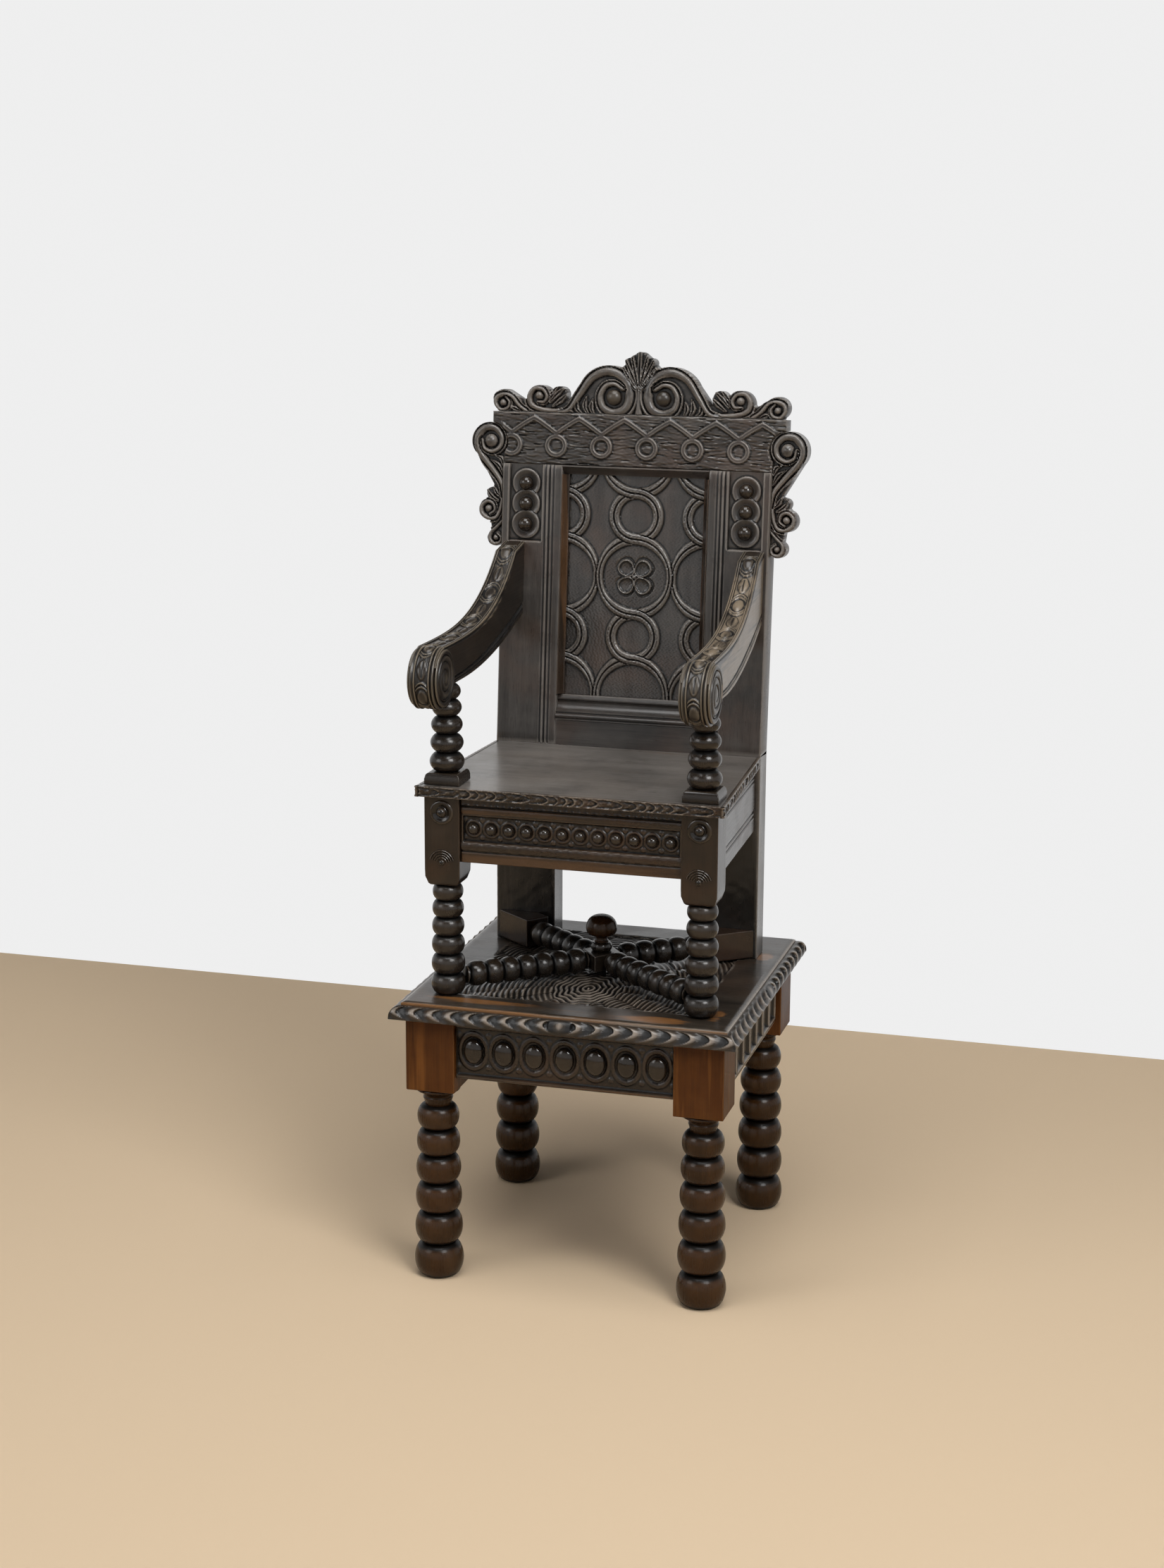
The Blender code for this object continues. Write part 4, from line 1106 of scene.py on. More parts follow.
    def chain_height(self, a: Array, b: Array) -> Array:
        """Carve the front apron's sunk channel with its chain of oval rings.

        Args:
            a: Places along.
            b: Places up.

        Returns:
            Heights.
        """
        pitch, rise = self.oval_pitch, b - self.oval_middle
        sunk = band(b, 0.2625, 0.2650, 0.3205, 0.3230) * (1.0 - smooth(np.abs(a), 0.1305, 0.1320))
        centre = np.clip(np.round(a / pitch), -3, 3) * pitch
        ring = round_over(np.hypot((a - centre) / 0.0164, rise / 0.0212) - 1.0, 0.17, 0.0018)
        eyes = np.abs(np.abs(a - np.round(a / pitch) * pitch) - pitch / 2)
        pips = round_over(np.hypot(eyes, np.abs(rise) - 0.0195), 0.0036, 0.0014)
        return np.maximum(ring, pips) * sunk - 0.0046 * sunk + 0.0002 * gouged(a, b, 0.006) * sunk

    def flutes(self, a: Array, b: Array) -> Array:
        """Carve a side apron's row of arched hollows.

        Args:
            a: Places along.
            b: Places up.

        Returns:
            Heights.
        """
        spring, foot = 0.3000, 0.2665
        near = a - np.clip(np.round(a / self.flute_pitch), -3, 3) * self.flute_pitch
        arch = np.where(b > spring, np.hypot(near, b - spring), np.abs(near))
        arch = np.maximum(arch, self.flute_half - (b - foot))
        lip = round_over(arch - 0.0165, 0.0016, 0.0007)
        return lip - 0.0062 * np.clip(1.0 - (arch / self.flute_half) ** 2, 0.0, None) ** 0.5 - 0.0008

    def build_front_apron(self) -> None:
        """Build the front apron: seven oval bosses in a chain of rings."""

        def brown(points: Array) -> Array:
            """Give the browner bands over and under the chain."""
            return 0.30 * (smooth(points[:, 2], 0.3215, 0.3235) + 1.0 - smooth(points[:, 2], 0.2615, 0.2635))

        pitch = self.oval_pitch
        face = Face((0.0, STAND_Y - self.leg[1] - self.leg_half + self.apron_setback, 0.0))
        half = self.leg[0] - self.leg_half - GAP
        Shell().add_relief(face, np.linspace(-half, half, 300), np.linspace(self.apron_low, self.under_top, 84),
                           self.chain_height, self.apron_thickness).dress(
            "apron_front_chain", DARK, Grain.X, "stand", "apron_front", brown)
        oval = boss("oval_boss", 0.0126, 0.0163, 0.0076, face)
        self.bench.row("apron_front_ovals", oval, 7, face.place(-3 * pitch, self.oval_middle, -0.0036),
                       (pitch, 0.0, 0.0), BURNISHED, Grain.X, "stand", "apron_front", seed=7)

    def build_other_aprons(self) -> None:
        """Build the side aprons with arched flutes, and the plain back one."""

        def lines(a: Array, b: Array) -> Array:
            """Scratch two lines."""
            return -0.0010 * bell(b - 0.271, 0.001) - 0.0010 * bell(b - 0.322, 0.001)

        rows = np.linspace(self.apron_low, self.under_top, 70)
        out = self.leg[0] + self.leg_half - self.apron_setback
        half = self.leg[1] - self.leg_half - GAP
        for name, sign in HANDS:
            face = Face((sign * out, STAND_Y, 0.0), along=(0.0, float(sign), 0.0))
            Shell().add_relief(face, np.linspace(-half, half, 250), rows, self.flutes,
                               self.apron_thickness).dress(
                "apron_%s_flutes" % name, RUBBED_HIGHLIT, Grain.Y, "stand", "apron_" + name)
        out = STAND_Y + self.leg[1] + self.leg_half - self.apron_setback
        face = Face((0.0, out, 0.0), along=(-1.0, 0.0, 0.0))
        half = self.leg[0] - self.leg_half - GAP
        Shell().add_relief(face, np.linspace(-half, half, 30), rows, lines, self.apron_thickness).dress(
            "apron_back_plain", DARK, Grain.X, "stand", "apron_back")

    def build_leg(self, name: str, x: float, y: float) -> None:
        """Build one leg: a square block, a turned neck and six bobbins.

        Args:
            name: The leg's name.
            x: The leg's axis across the stand.
            y: The leg's axis from the stand's middle.
        """

        def mottled(points: Array) -> Array:
            """Let a little worn-through wood show all over."""
            return np.full(len(points), 0.25)

        half, low = self.leg_half, self.under_top - self.block_height
        place = Matrix.Translation((x, y + STAND_Y, 0.0))
        Shell().add_block((x - half, y + STAND_Y - half, low), (x + half, y + STAND_Y + half, self.under_top),
                          0.0014).dress(name + "_block", RED, Grain.Z, "stand", name, mottled)
        row = low - self.neck_height
        neck = curve_through([(0.0150, row - 0.003), (0.0166, row + 0.004), (0.0180, row + 0.0085),
                              (0.0172, row + 0.0110), (0.0205, row + 0.0150), (0.0262, row + 0.0185),
                              (0.0264, row + 0.0210), (0.0240, row + 0.0238)], 6)
        Shell().add_turning(neck, 48, place).dress(name + "_neck", POLISHED, Grain.Z, "stand", name)
        self.bench.bobbins(name + "_bobbins", place, 6, row, 0.0297, 0.0252, 0.075, Grain.Z, "stand", name,
                           finish=POLISHED)


@dataclass
class Seat(Assembly):
    """The chair's board seat, its rails and its front legs."""

    front_half: float = 0.1848
    rear_half: float = 0.1697
    front_y: float = -0.1753 + STAND_Y
    rear_y: float = 0.0897 + STAND_Y
    thickness: float = 0.0125
    edge_inset: float = 0.004
    edge_thickness: float = 0.0048
    rail_low: float = 0.5172
    rail_half: float = 0.1325
    rail_thickness: float = 0.020
    rail_setback: float = 0.0045
    block_half: float = 0.0215
    block_height: float = 0.1087
    foot_round: float = 0.016
    roundel_level: float = 0.5770
    ring_level: float = 0.5165
    boss_pitch: float = 0.0215
    chain_middle: float = 0.5580
    roll_middle: float = 0.5370
    roll_half: float = 0.0048

    def build(self) -> None:
        """Build and dress the seat."""
        self.build_board()
        self.build_front_rail()
        self.build_other_rails()
        for hand, sign in HANDS:
            self.build_leg("front_leg_" + hand, sign * FRONT_LEG[0])

    def taper(self, points: Array) -> Array:
        """Narrow the board towards the back and wear its top uneven.

        Args:
            points: The board's points, which are moved.

        Returns:
            The same points.
        """
        share = (points[:, 1] - self.front_y) / (self.rear_y - self.front_y)
        points[:, 0] *= 1.0 + (self.rear_half / self.front_half - 1.0) * share
        uneven = 0.00022 * gouged(points[:, 0], points[:, 1], 0.11) - 0.0003
        points[:, 2] += np.where(points[:, 2] > SEAT_TOP - 0.001, uneven, 0.0)
        return points

    @staticmethod
    def chips(a: Array, b: Array) -> Array:
        """Carve slanting chips between two fillets.

        Args:
            a: Places along.
            b: Places up.

        Returns:
            Heights.
        """
        lean = a / 0.0152 + 0.6 * np.sin(a * 61.0) - 0.7 * (1.0 - ((b - 0.0062) / 0.0058) ** 2)
        phase = lean - np.floor(lean)
        cut = smooth(phase, 0.0, 0.18) * (1.0 - 0.8 * smooth(phase, 0.2, 1.0))
        deep = np.clip(0.70 + 0.45 * gouged(a, b * 0.0, 0.031), 0.1, 1.0)
        chip = -0.0036 * (1.0 - cut) * band(b, 0.0008, 0.0026, 0.0094, 0.0112) * deep
        return chip + 0.0005 * gouged(a, b, 0.011) - 0.0005

    def build_board(self) -> None:
        """Build the seat board with chip-carved front and side edges."""
        low, inset = SEAT_TOP - self.thickness, self.edge_inset
        Shell().add_block((-self.front_half + inset, self.front_y + inset, low),
                          (self.front_half - inset, self.rear_y, SEAT_TOP), 0.0012, self.taper).dress(
            "seat_board", WORN_SHEENED, Grain.X, "chair", "seat")
        rows = np.linspace(0.0, self.thickness, 17)
        run = Vector((self.rear_half - self.front_half, self.rear_y - self.front_y, 0.0))
        edges = [(Face((0.0, self.front_y, low)), np.linspace(-self.front_half, self.front_half, 420))]
        for sign in (-1, 1):
            way = Vector((sign * run.x, run.y, 0.0)).normalized() * sign
            edges.append((Face((sign * self.front_half, self.front_y, low), along=tuple(way)),
                          np.sort(np.linspace(0.0, sign * run.length, 300))))
        shell = Shell()
        for face, places in edges:
            shell.add_relief(face, places, rows, self.chips, self.edge_thickness, edge=0.0005)
        shell.dress("seat_edge_chipped", CHIPPED_HIGHLIT, Grain.X, "chair", "seat")

    def chain_height(self, a: Array, b: Array) -> Array:
        """Carve the front rail's mouldings, and the sunk channel with its rings.

        Args:
            a: Places along.
            b: Places up.

        Returns:
            Heights.
        """
        pitch, rise = self.boss_pitch, b - self.chain_middle
        sunk = band(b, 0.5418, 0.5436, 0.5715, 0.5745) * (1.0 - smooth(np.abs(a), 0.1290, 0.1305))
        near = a - np.clip(np.round(a / pitch - 0.5) + 0.5, -5.5, 5.5) * pitch
        radius = np.hypot(near, rise)
        ring = round_over(radius - 0.0090, 0.0019, 0.0012)
        scallop = round_over(np.hypot(np.abs(near) - pitch / 2, np.abs(rise) - 0.0105), 0.0034, 0.0013)
        chain = np.maximum.reduce([ring, scallop, 0.0005 * (radius < 0.0076)]) - 0.0052
        over = b - self.roll_middle
        ripple = 0.0003 * np.sin(a * 480.0 + 2 * np.sin(a * 37))
        roll = round_over(over, self.roll_half, 0.0016) - 0.0012 + ripple
        flat = -0.0012 * bell(b - 0.5305, 0.0008) - 0.0012 * bell(b - 0.5850, 0.001)
        flat = flat - 0.0010 * smooth(b, 0.5865, 0.5875) * (0.6 + 0.4 * np.sin(a * 620.0 + 3 * np.sin(a * 70)))
        fillet = round_over(b - 0.5800, 0.0036, 0.0008)
        body = np.where(np.abs(over) < self.roll_half, roll, flat + fillet - 0.0009)
        return sunk * chain + (1.0 - sunk) * body + 0.00016 * gouged(a, b, 0.016)

    def build_front_rail(self) -> None:
        """Build the carved front rail: twelve bosses in a sunk chain between mouldings."""

        def brown(points: Array) -> Array:
            """Give the browner fillet over the chain and the band under it."""
            z = points[:, 2]
            return 0.31 * (band(z, 0.5750, 0.5765, 0.5845, 0.5860) + 1.0 - smooth(z, 0.5295, 0.5310))

        pitch = self.boss_pitch
        face = Face((0.0, FRONT_LEG[1] - self.block_half + self.rail_setback, 0.0))
        Shell().add_relief(face, np.linspace(-self.rail_half, self.rail_half, 360),
                           np.linspace(self.rail_low, UNDER_SEAT, 110), self.chain_height,
                           self.rail_thickness).dress(
            "front_rail_chain", DARK, Grain.X, "chair", "seat_rail_front", brown)
        ball = boss("rail_boss", 0.0073, 0.0075, 0.0078, face)
        self.bench.row("front_rail_bosses", ball, 12, face.place(-5.5 * pitch, self.chain_middle, -0.0046),
                       (pitch, 0.0, 0.0), BURNISHED, Grain.X, "chair", "seat_rail_front", seed=3)

    def build_other_rails(self) -> None:
        """Build the side rails with their double scratched lines, and the back rail to match."""

        def lines(a: Array, b: Array) -> Array:
            """Scratch two pairs of lines."""
            cuts = sum(bell(b - level, 0.0012) for level in (0.5800, 0.5850, 0.5360, 0.5420))
            return -0.0022 * cuts + 0.00012 * gouged(a, b, 0.05)

        rows = np.linspace(self.rail_low, UNDER_SEAT, 90)
        for hand, sign in HANDS:
            start = Vector((sign * (FRONT_LEG[0] + self.block_half - self.rail_setback),
                            FRONT_LEG[1] + self.block_half + GAP, 0.0))
            end = Vector((sign * (POST_OUTER - self.rail_setback), self.rear_y, 0.0))
            way = (end - start).normalized() * sign
            places = np.sort(np.linspace(0.0, sign * (end - start).length, 40))
            Shell().add_relief(Face(tuple(start), along=tuple(way)), places, rows, lines,
                               self.rail_thickness).dress(
                "side_rail_" + hand, DARK, Grain.Y, "chair", "seat_rail_" + hand)
        half = POST_INNER - GAP
        face = Face((0.0, BACK_Y + 0.0245, 0.0), along=(-1.0, 0.0, 0.0))
        Shell().add_relief(face, np.linspace(-half, half, 40), rows, lines, self.rail_thickness).dress(
            "back_rail_scratched", DARK, Grain.X, "chair", "seat_rail_back")

    def build_leg(self, name: str, x: float) -> None:
        """Build one front leg: a block with a roundel and half rings, over six bobbins.

        Args:
            name: The leg's name.
            x: The leg's axis.
        """
        half, low, y = self.block_half, UNDER_SEAT - self.block_height, FRONT_LEG[1]

        def cushion(points: Array) -> Array:
            """Round the block in towards its foot."""
            return drawn_in(points, (x, y), (low + self.foot_round - points[:, 2]) / self.foot_round, 0.34)

        Shell().add_block((x - half, y - half, low), (x + half, y + half, UNDER_SEAT), 0.0011, cushion).dress(
            name + "_block", DARK, Grain.Z, "chair", name)
        roundel = [(0.0148, -0.001), (0.0146, 0.0006), (0.0136, 0.0018), (0.0118, 0.0024), (0.0098, 0.0018),
                   (0.0082, 0.0005), (0.0066, 0.0003), (0.0056, 0.0010), (0.0050, 0.0034), (0.0030, 0.0052),
                   (0.0004, 0.0058)]
        eye = [(0.0038, -0.001), (0.0036, 0.0014), (0.0026, 0.0026), (0.0004, 0.0031)]
        shell = Shell()
        for profile, sides, level in ((roundel, 40, self.roundel_level), (eye, 28, self.ring_level)):
            forward = Matrix.Translation((x, y - half, level)) @ Matrix.Rotation(math.pi / 2, 4, "X")
            shell.add_turning(profile, sides, forward)
        for radius in (0.0062, 0.0090, 0.0118, 0.0146):
            self.add_half_ring(shell, x, y - half, radius)
        shell.dress(name + "_rings", BURNISHED, Grain.Z, "chair", name)
        self.bench.bobbins(name + "_bobbins", Matrix.Translation((x, y, CHAIR_FOOT)), 6, low - CHAIR_FOOT,
                           0.0205, 0.0182, 0.05, Grain.Z, "chair", name)

    def add_half_ring(self, shell: Shell, x: float, y: float, radius: float) -> None:
        """Add one raised half ring to the front of a leg block.

        Args:
            shell: The leg's shell.
            x: The ring's middle across.
            y: The block's front face.
            radius: The ring's radius.
        """
        turn = np.linspace(0.25, math.pi - 0.25, 26)[:, None]
        around = np.linspace(0.0, math.tau, 8, endpoint=False)[None, :]
        reach = radius + 0.0011 * np.cos(around)
        rings = np.stack(np.broadcast_arrays(x + reach * np.cos(turn), y - 0.0020 * np.sin(around),
                                             self.ring_level + reach * np.sin(turn)), -1)
        shell.add_tube(rings, 0.9 * np.sin(around) - 0.1)


@dataclass(frozen=True)
class Stroke:
    """One carved stroke: its path, half widths, cut and rise, and the outer side (1 right, -1 left)."""

    path: Array
    halves: tuple[float, float, float]
    cut: Cut
    rise: float
    outer: int = 1

    def height(self, a: Array, b: Array) -> Array:
        """Give the stroke's heights above the ground.

        Args:
            a: Places along the face.
            b: Places up the face.

        Returns:
            Heights, zero beside the stroke.
        """
        gap, share, side = nearest(a, b, self.path)
        across = np.clip(gap / np.interp(share, (0.0, 0.5, 1.0), self.halves), 0.0, 1.0)
        dome = np.sqrt(1.0 - across ** 2)
        if self.cut is Cut.ROLL:
            place = across * side * self.outer
            dome = np.maximum(round_over(place + 0.27, 0.73, 1.0), round_over(place - 0.73, 0.27, 0.78))
        elif self.cut is Cut.LEAF:
            dome = dome * (1.0 - 0.60 * bell(across, 0.22))
        return self.rise * dome


@dataclass(frozen=True)
class Ornament:
    """A set of strokes and round eyes on a sunk ground, alike on both sides of the middle."""

    strokes: tuple[Stroke, ...]
    eyes: tuple[tuple[float, float, float, float], ...]
    ground: float

    def height(self, a: Array, b: Array) -> Array:
        """Give the ornament's heights.

        Args:
            a: Places along the face.
            b: Places up the face.

        Returns:
            Heights.
        """
        a = np.abs(a)
        level = np.zeros(np.shape(a))
        for stroke in self.strokes:
            level = np.maximum(level, stroke.height(a, b))
        for x, y, radius, rise in self.eyes:
            level = np.maximum(level, round_over(np.hypot(a - x, b - y), radius, rise))
        return level - self.ground + 0.00012 * gouged(a, b, 0.012)


def millimetres(*points: Flat) -> Array:
    """Draw a smooth line through points given in millimetres."""
    return curve_through([(x / 1000.0, y / 1000.0) for x, y in points])


@dataclass
class Back(Assembly):
    """The chair's back: posts, panel and mouldings, top rail, crest and ears."""

    half: float = 0.0922
    thickness: float = 0.037
    strip_middle: float = 0.1385
    strip_half: float = 0.0206
    strip_pitch: float = 0.0252
    strip_first: float = 0.3212
    panel_low: float = 0.0313
    panel_depth: float = 0.012
    ring_middle: float = 0.211
    ring_step: float = 0.074
    column_step: float = 0.0925
    moulding_rear: float = -0.0117
    rail_low: float = 0.3448
    rail_high: float = 0.4078
    rail_half: float = 0.184
    strap_ring: Flat = (0.0126, 0.3680)
    strap_radius: float = 0.0112
    strap_pitch: float = 0.0572
    crest_low: float = 0.4081
    carving_setback: float = 0.004
    carving_ground: float = 0.0060
    ear_scroll: Flat = (0.1877, 0.3710)
    ear_radius: float = 0.0233
    ear_hollow: float = 0.0238

    def build(self) -> None:
        """Build and dress the whole back."""
        for hand, sign in HANDS:
            self.build_post(hand, sign)
            self.build_boss_strip(hand, sign)
            self.build_ear(hand, sign)
        self.build_panel()
        self.build_mouldings()
        self.build_top_rail()
        self.build_crest()

    @staticmethod
    def post_height(a: Array, b: Array) -> Array:
        """Carve a post's scratched lines and the recess for its boss strip.

        Args:
            a: Places along.
            b: Places up.

        Returns:
            Heights.
        """
        across = np.abs(a)
        cuts = sum(bell(across - x, 0.0009) for x in (0.1030, 0.1078, 0.1130))
        sunk = band(across, 0.1172, 0.1182, 0.1588, 0.1598) * smooth(b, 0.2490, 0.2530)
        bead = round_over(across - 0.1104, 0.0022, 0.0007)
        return bead - 0.0011 * cuts - 0.0060 * sunk + 0.00012 * gouged(a, b, 0.06)

    @staticmethod
    def under_seat_shade(points: Array) -> Array:
        """Paint shade under the seat onto the post's front and back, off its sides.

        Args:
            points: The post's points.

        Returns:
            Painted shade from 0 to 1.
        """
        across = np.abs(np.abs(points[:, 0]) - (POST_INNER + POST_OUTER) / 2)
        half = (POST_OUTER - POST_INNER) / 2
        low = 1.0 - smooth(points[:, 2], 0.50, 0.60)
        return 0.55 * low * (1.0 - smooth(across, half - 0.0016, half - 0.0002))

    def build_post(self, hand: str, sign: int) -> None:
        """Build one rear post: plain below the seat, raked and scratch-moulded above it.

        Args:
            hand: The side's name.
            sign: -1 on the left and 1 on the right.
        """

        def hewn(a: Array, b: Array) -> Array:
            """Cut shallow adze marks."""
            return 0.00035 * gouged(a, b, 0.030) - 0.0006

        node = "rear_post_" + hand
        columns = runs((POST_INNER, 0.1010, 6), (0.1010, 0.1150, 40), (0.1150, 0.1195, 12),
                       (0.1195, 0.1575, 12), (0.1575, 0.1610, 12), (0.1610, POST_OUTER, 8))
        rows = runs((0.0, 0.245, 40), (0.245, 0.256, 14), (0.256, BACK_HEIGHT, 16))
        Shell().add_relief(BACK, np.sort(sign * columns), rows, self.post_height, self.thickness,
                           edge=0.0014).dress(node + "_moulded", GREYED, Grain.Z, "chair", node)
        columns = np.linspace(*sorted((sign * POST_INNER, sign * POST_OUTER)), 30)
        rows = np.linspace(CHAIR_FOOT, SEAT_TOP + 0.0004, 70)
        # The plain lower post takes painted shade under the seat.
        Shell().add_relief(Face((0.0, BACK_Y, 0.0)), columns, rows, hewn, self.thickness, edge=0.0014).dress(
            node + "_hewn", GREYED, Grain.Z, "chair", node, self.under_seat_shade)

    def build_boss_strip(self, hand: str, sign: int) -> None:
        """Build one sunk strip of three overlapping discs, each with a boss.

        Args:
            hand: The side's name.
            sign: -1 on the left and 1 on the right.
        """
        middle, pitch, first = sign * self.strip_middle, self.strip_pitch, self.strip_first

        def height(a: Array, b: Array) -> Array:
            """Carve discs that overlap downwards.

            Args:
                a: Places along.
                b: Places up.

            Returns:
                Heights.
            """
            level = np.full(np.shape(a), -0.0052)
            for k in range(3):
                radius = np.hypot(a - middle, b - first + k * pitch)
                dish = -0.0042 + 0.0018 * smooth(radius, 0.009, 0.016) - 0.0014 * smooth(radius, 0.0166, 0.0184)
                level = np.where(radius < 0.0184, dish, level)
            return level

        node = "boss_strip_" + hand
        columns = np.linspace(middle - self.strip_half, middle + self.strip_half, 60)
        Shell().add_relief(BACK, columns, np.linspace(0.2532, BACK_HEIGHT, 124), height, 0.0058,
                           edge=0.0003).dress(node + "_discs", GREYED, Grain.Z, "chair", node)
        ball = boss("post_boss", 0.0094, 0.0094, 0.0090, BACK)
        self.bench.row(node + "_bosses", ball, 3, BACK.place(middle, first, -0.0030),
                       -pitch * np.array(BACK.up), BURNISHED, Grain.Z, "chair", node, seed=11)

    def ring_column(self, x: Array, b: Array) -> tuple[Array, Array]:
        """Give one column of large and small rings, woven where they touch.

        Args:
            x: Places across, from the column's middle.
            b: Places up the back.

        Returns:
            Heights, and where the bands lie.
        """
        repeat = 2.0 * self.ring_step
        rise = b - self.ring_middle
        rise = rise - np.round(rise / repeat) * repeat
        reach = np.hypot(x * 1.035, rise)
        steep = np.abs(rise) / np.maximum(reach, 1e-6)
        large = (reach - 0.0460) / (0.0046 + 0.0023 * smooth(steep, 0.35, 0.97))
        small = (np.hypot(x, np.abs(rise) - self.ring_step) - 0.0278) / 0.0069
        uneven = 1.0 + 0.07 * gouged(x, b, 0.0062)
        bands = []
        for offset in (large, small):
            roll = np.sqrt(np.clip(1.0 - np.clip(np.abs(offset), 0.0, 1.0) ** 4.5, 0.0, None))
            bands.append(0.0050 * roll * uneven * (1.0 - 0.50 * bell(offset, 0.11)))
        large_here, small_here = np.abs(large) < 1.0, np.abs(small) < 1.0
        large_first = np.where(large_here, bands[0], bands[1])
        small_first = np.where(small_here, bands[1], bands[0])
        here = large_here | small_here
        beside = np.minimum(np.abs(np.abs(large) - 1.12), np.abs(np.abs(small) - 1.12))
        woven = np.where(x * rise > 0.0, large_first, small_first)
        return np.where(here, woven, -0.0010 * bell(beside, 0.15)), here

    def panel_height(self, a: Array, b: Array) -> Array:
        """Give the heights of the interlaced rings and the flower.

        Args:
            a: Places across the panel.
            b: Places up the back.

        Returns:
            Heights over the panel's face.
        """
        middle, here = self.ring_column(a, b)
        level = middle + np.where(here, 0.0, self.ring_column(a - np.sign(a) * self.column_step, b)[0])
        dx, dy = np.abs(a), np.abs(b - self.ring_middle)
        radial, aside = (dx + dy) / math.sqrt(2.0), (dx - dy) / math.sqrt(2.0)
        petal = np.hypot((radial - 0.0138) / 0.0118, aside / (0.0072 + 0.22 * radial))
        rim = round_over(petal - 0.88, 0.14, 0.0046)
        dish = np.where(petal < 0.88, 0.0012 + 0.0016 * petal ** 2, 0.0)
        bead = round_over(np.hypot(dx, dy), 0.0030, 0.0080)
        outline = -0.0010 * bell(petal - 1.12, 0.10)
        level = np.maximum(level + outline, np.maximum.reduce([rim, dish, bead]) + outline)
        punched = np.hypot(dx, dy) < 0.037
        return level - 0.0026 + np.where(punched, 0.00030, 0.00022) * gouged(a, b, 0.0045)

    def build_panel(self) -> None:
        """Build the carved panel and the plain rail under it."""
        Shell().add_relief(BACK.sunk(self.panel_depth), np.linspace(-self.half, self.half, 226),
                           np.linspace(self.panel_low, BACK_HEIGHT, 384), self.panel_height, 0.010).dress(
            "back_panel_carved", PANELLED, Grain.Z, "chair", "back_panel")
        Shell().add_block((-self.half, 0.0, -0.0105), (self.half, 0.026, 0.0310), 0.0010, on_back).dress(
            "back_bottom_rail_plain", GREYED, Grain.X, "chair", "back_bottom_rail")

    def build_mouldings(self) -> None:
        """Build the sill and the three mouldings that frame the panel."""
        low, rear, top = self.panel_low, self.moulding_rear, BACK_HEIGHT

        def browned(points: Array) -> Array:
            """Give an even brown."""
            return np.full(len(points), 0.31)

        def across(out: Array, up: Array, along: float) -> Array:
            """Place a section that runs across the back."""
            return BACK.place(along, up, out)

        sill = [(rear, low), (0.0016, low)]
        sill += arc((0.0, low + 0.0042), 0.0030, -60, 75)
        sill += [(-0.0006, low + 0.0078), (-0.0006, low + 0.0092), (0.0006, low + 0.0098),
                 (0.0006, low + 0.0112)]
        sill += arc((0.0022, low + 0.0225), 0.0115, 262, 190)
        sill += [(-0.0086, low + 0.0225), (-0.0080, low + 0.0236), (-0.0066, low + 0.0242),
                 (-0.0064, low + 0.0262), (-0.0086, low + 0.0306), (rear, low + 0.0308)]
        head = [(rear, 0.3340), (-0.0090, 0.3340), (-0.0082, 0.3350), (-0.0014, 0.3420), (-0.0002, 0.3428),
                (-0.0002, top), (rear, top)]
        for name, section, node in (("panel_sill_moulded", sill, "panel_sill"),
                                    ("panel_top_moulded", head, "panel_moulding_top")):
            Shell().add_moulding(section, across, -self.half, self.half).dress(
                name, GREYED, Grain.X, "chair", node)
        side = [(0.0922, rear), (0.0851, rear), (0.0851, -0.0090), (0.0860, -0.0082), (0.0905, -0.0014),
                (0.0912, -0.0004), (0.0922, -0.0003)]
        for hand, sign in HANDS:

            def upright(a: Array, out: Array, along: float, sign: int = sign) -> Array:
                """Place a section that runs up the back."""
                return BACK.place(sign * a, along, out)

            Shell().add_moulding(side, upright, 0.0626, 0.3337).dress(
                "panel_side_%s_moulded" % hand, DARK, Grain.Z, "chair", "panel_moulding_" + hand, browned)

    def strapwork(self, a: Array, b: Array) -> Array:
        """Carve the top rail's rings and straps on a hacked ground.

        Args:
            a: Places along.
            b: Places up.

        Returns:
            Heights.
        """
        pitch, radius = self.strap_pitch, self.strap_radius
        first, middle = self.strap_ring
        near = a - first - np.round((a - first) / pitch) * pitch
        ring = np.hypot(near, b - middle)
        loop = round_over(ring - radius, 0.0034, 0.0030) * (1.0 - 0.25 * bell(ring - radius, 0.0009))
        eye = round_over(ring, 0.0052, 0.0008)
        line = (0.4010 - b) - 0.0180 * (1.0 - np.abs(near) / (pitch / 2)) ** 1.15
        strap = round_over(line, 0.0040, 0.0026) * (1.0 - 0.3 * bell(line, 0.0010)) * (ring > 0.0125)
        level = np.maximum.reduce([loop, eye, strap])
        ends = smooth(np.abs(a), 0.168, 0.174)
        hacked = 0.00045 * gouged(a * 0.12, b, 0.0034) + 0.0006 * gouged(a * 0.22, b * 1.3, 0.011)
        hacked = hacked - 0.0013 * smooth(gouged(a * 0.10 + 0.2 * b, b, 0.0078), 0.42, 0.80)
        return level * (1.0 - ends) - 0.0034 + hacked * (1.0 - smooth(level, 0.0002, 0.0012))

    def build_top_rail(self) -> None:
        """Build the top rail: a strap that zigzags over a row of rings on a rough ground."""
        x, h = self.ear_scroll
        start = 360 - math.degrees(math.acos((POST_OUTER - x) / self.ear_hollow))
        stop = math.degrees(math.acos((self.rail_half - x) / self.ear_hollow))
        right = [(POST_OUTER, self.rail_low), *arc((x, h), self.ear_hollow, start, stop),
                 (self.rail_half, self.rail_high)]
        outline = right + [(-a, b) for a, b in reversed(right)]
        Shell().add_cutout(BACK, outline, self.strapwork, 0.032, 0.00115).dress(
            "top_rail_carved", GREYED, Grain.X, "chair", "back_top_rail")

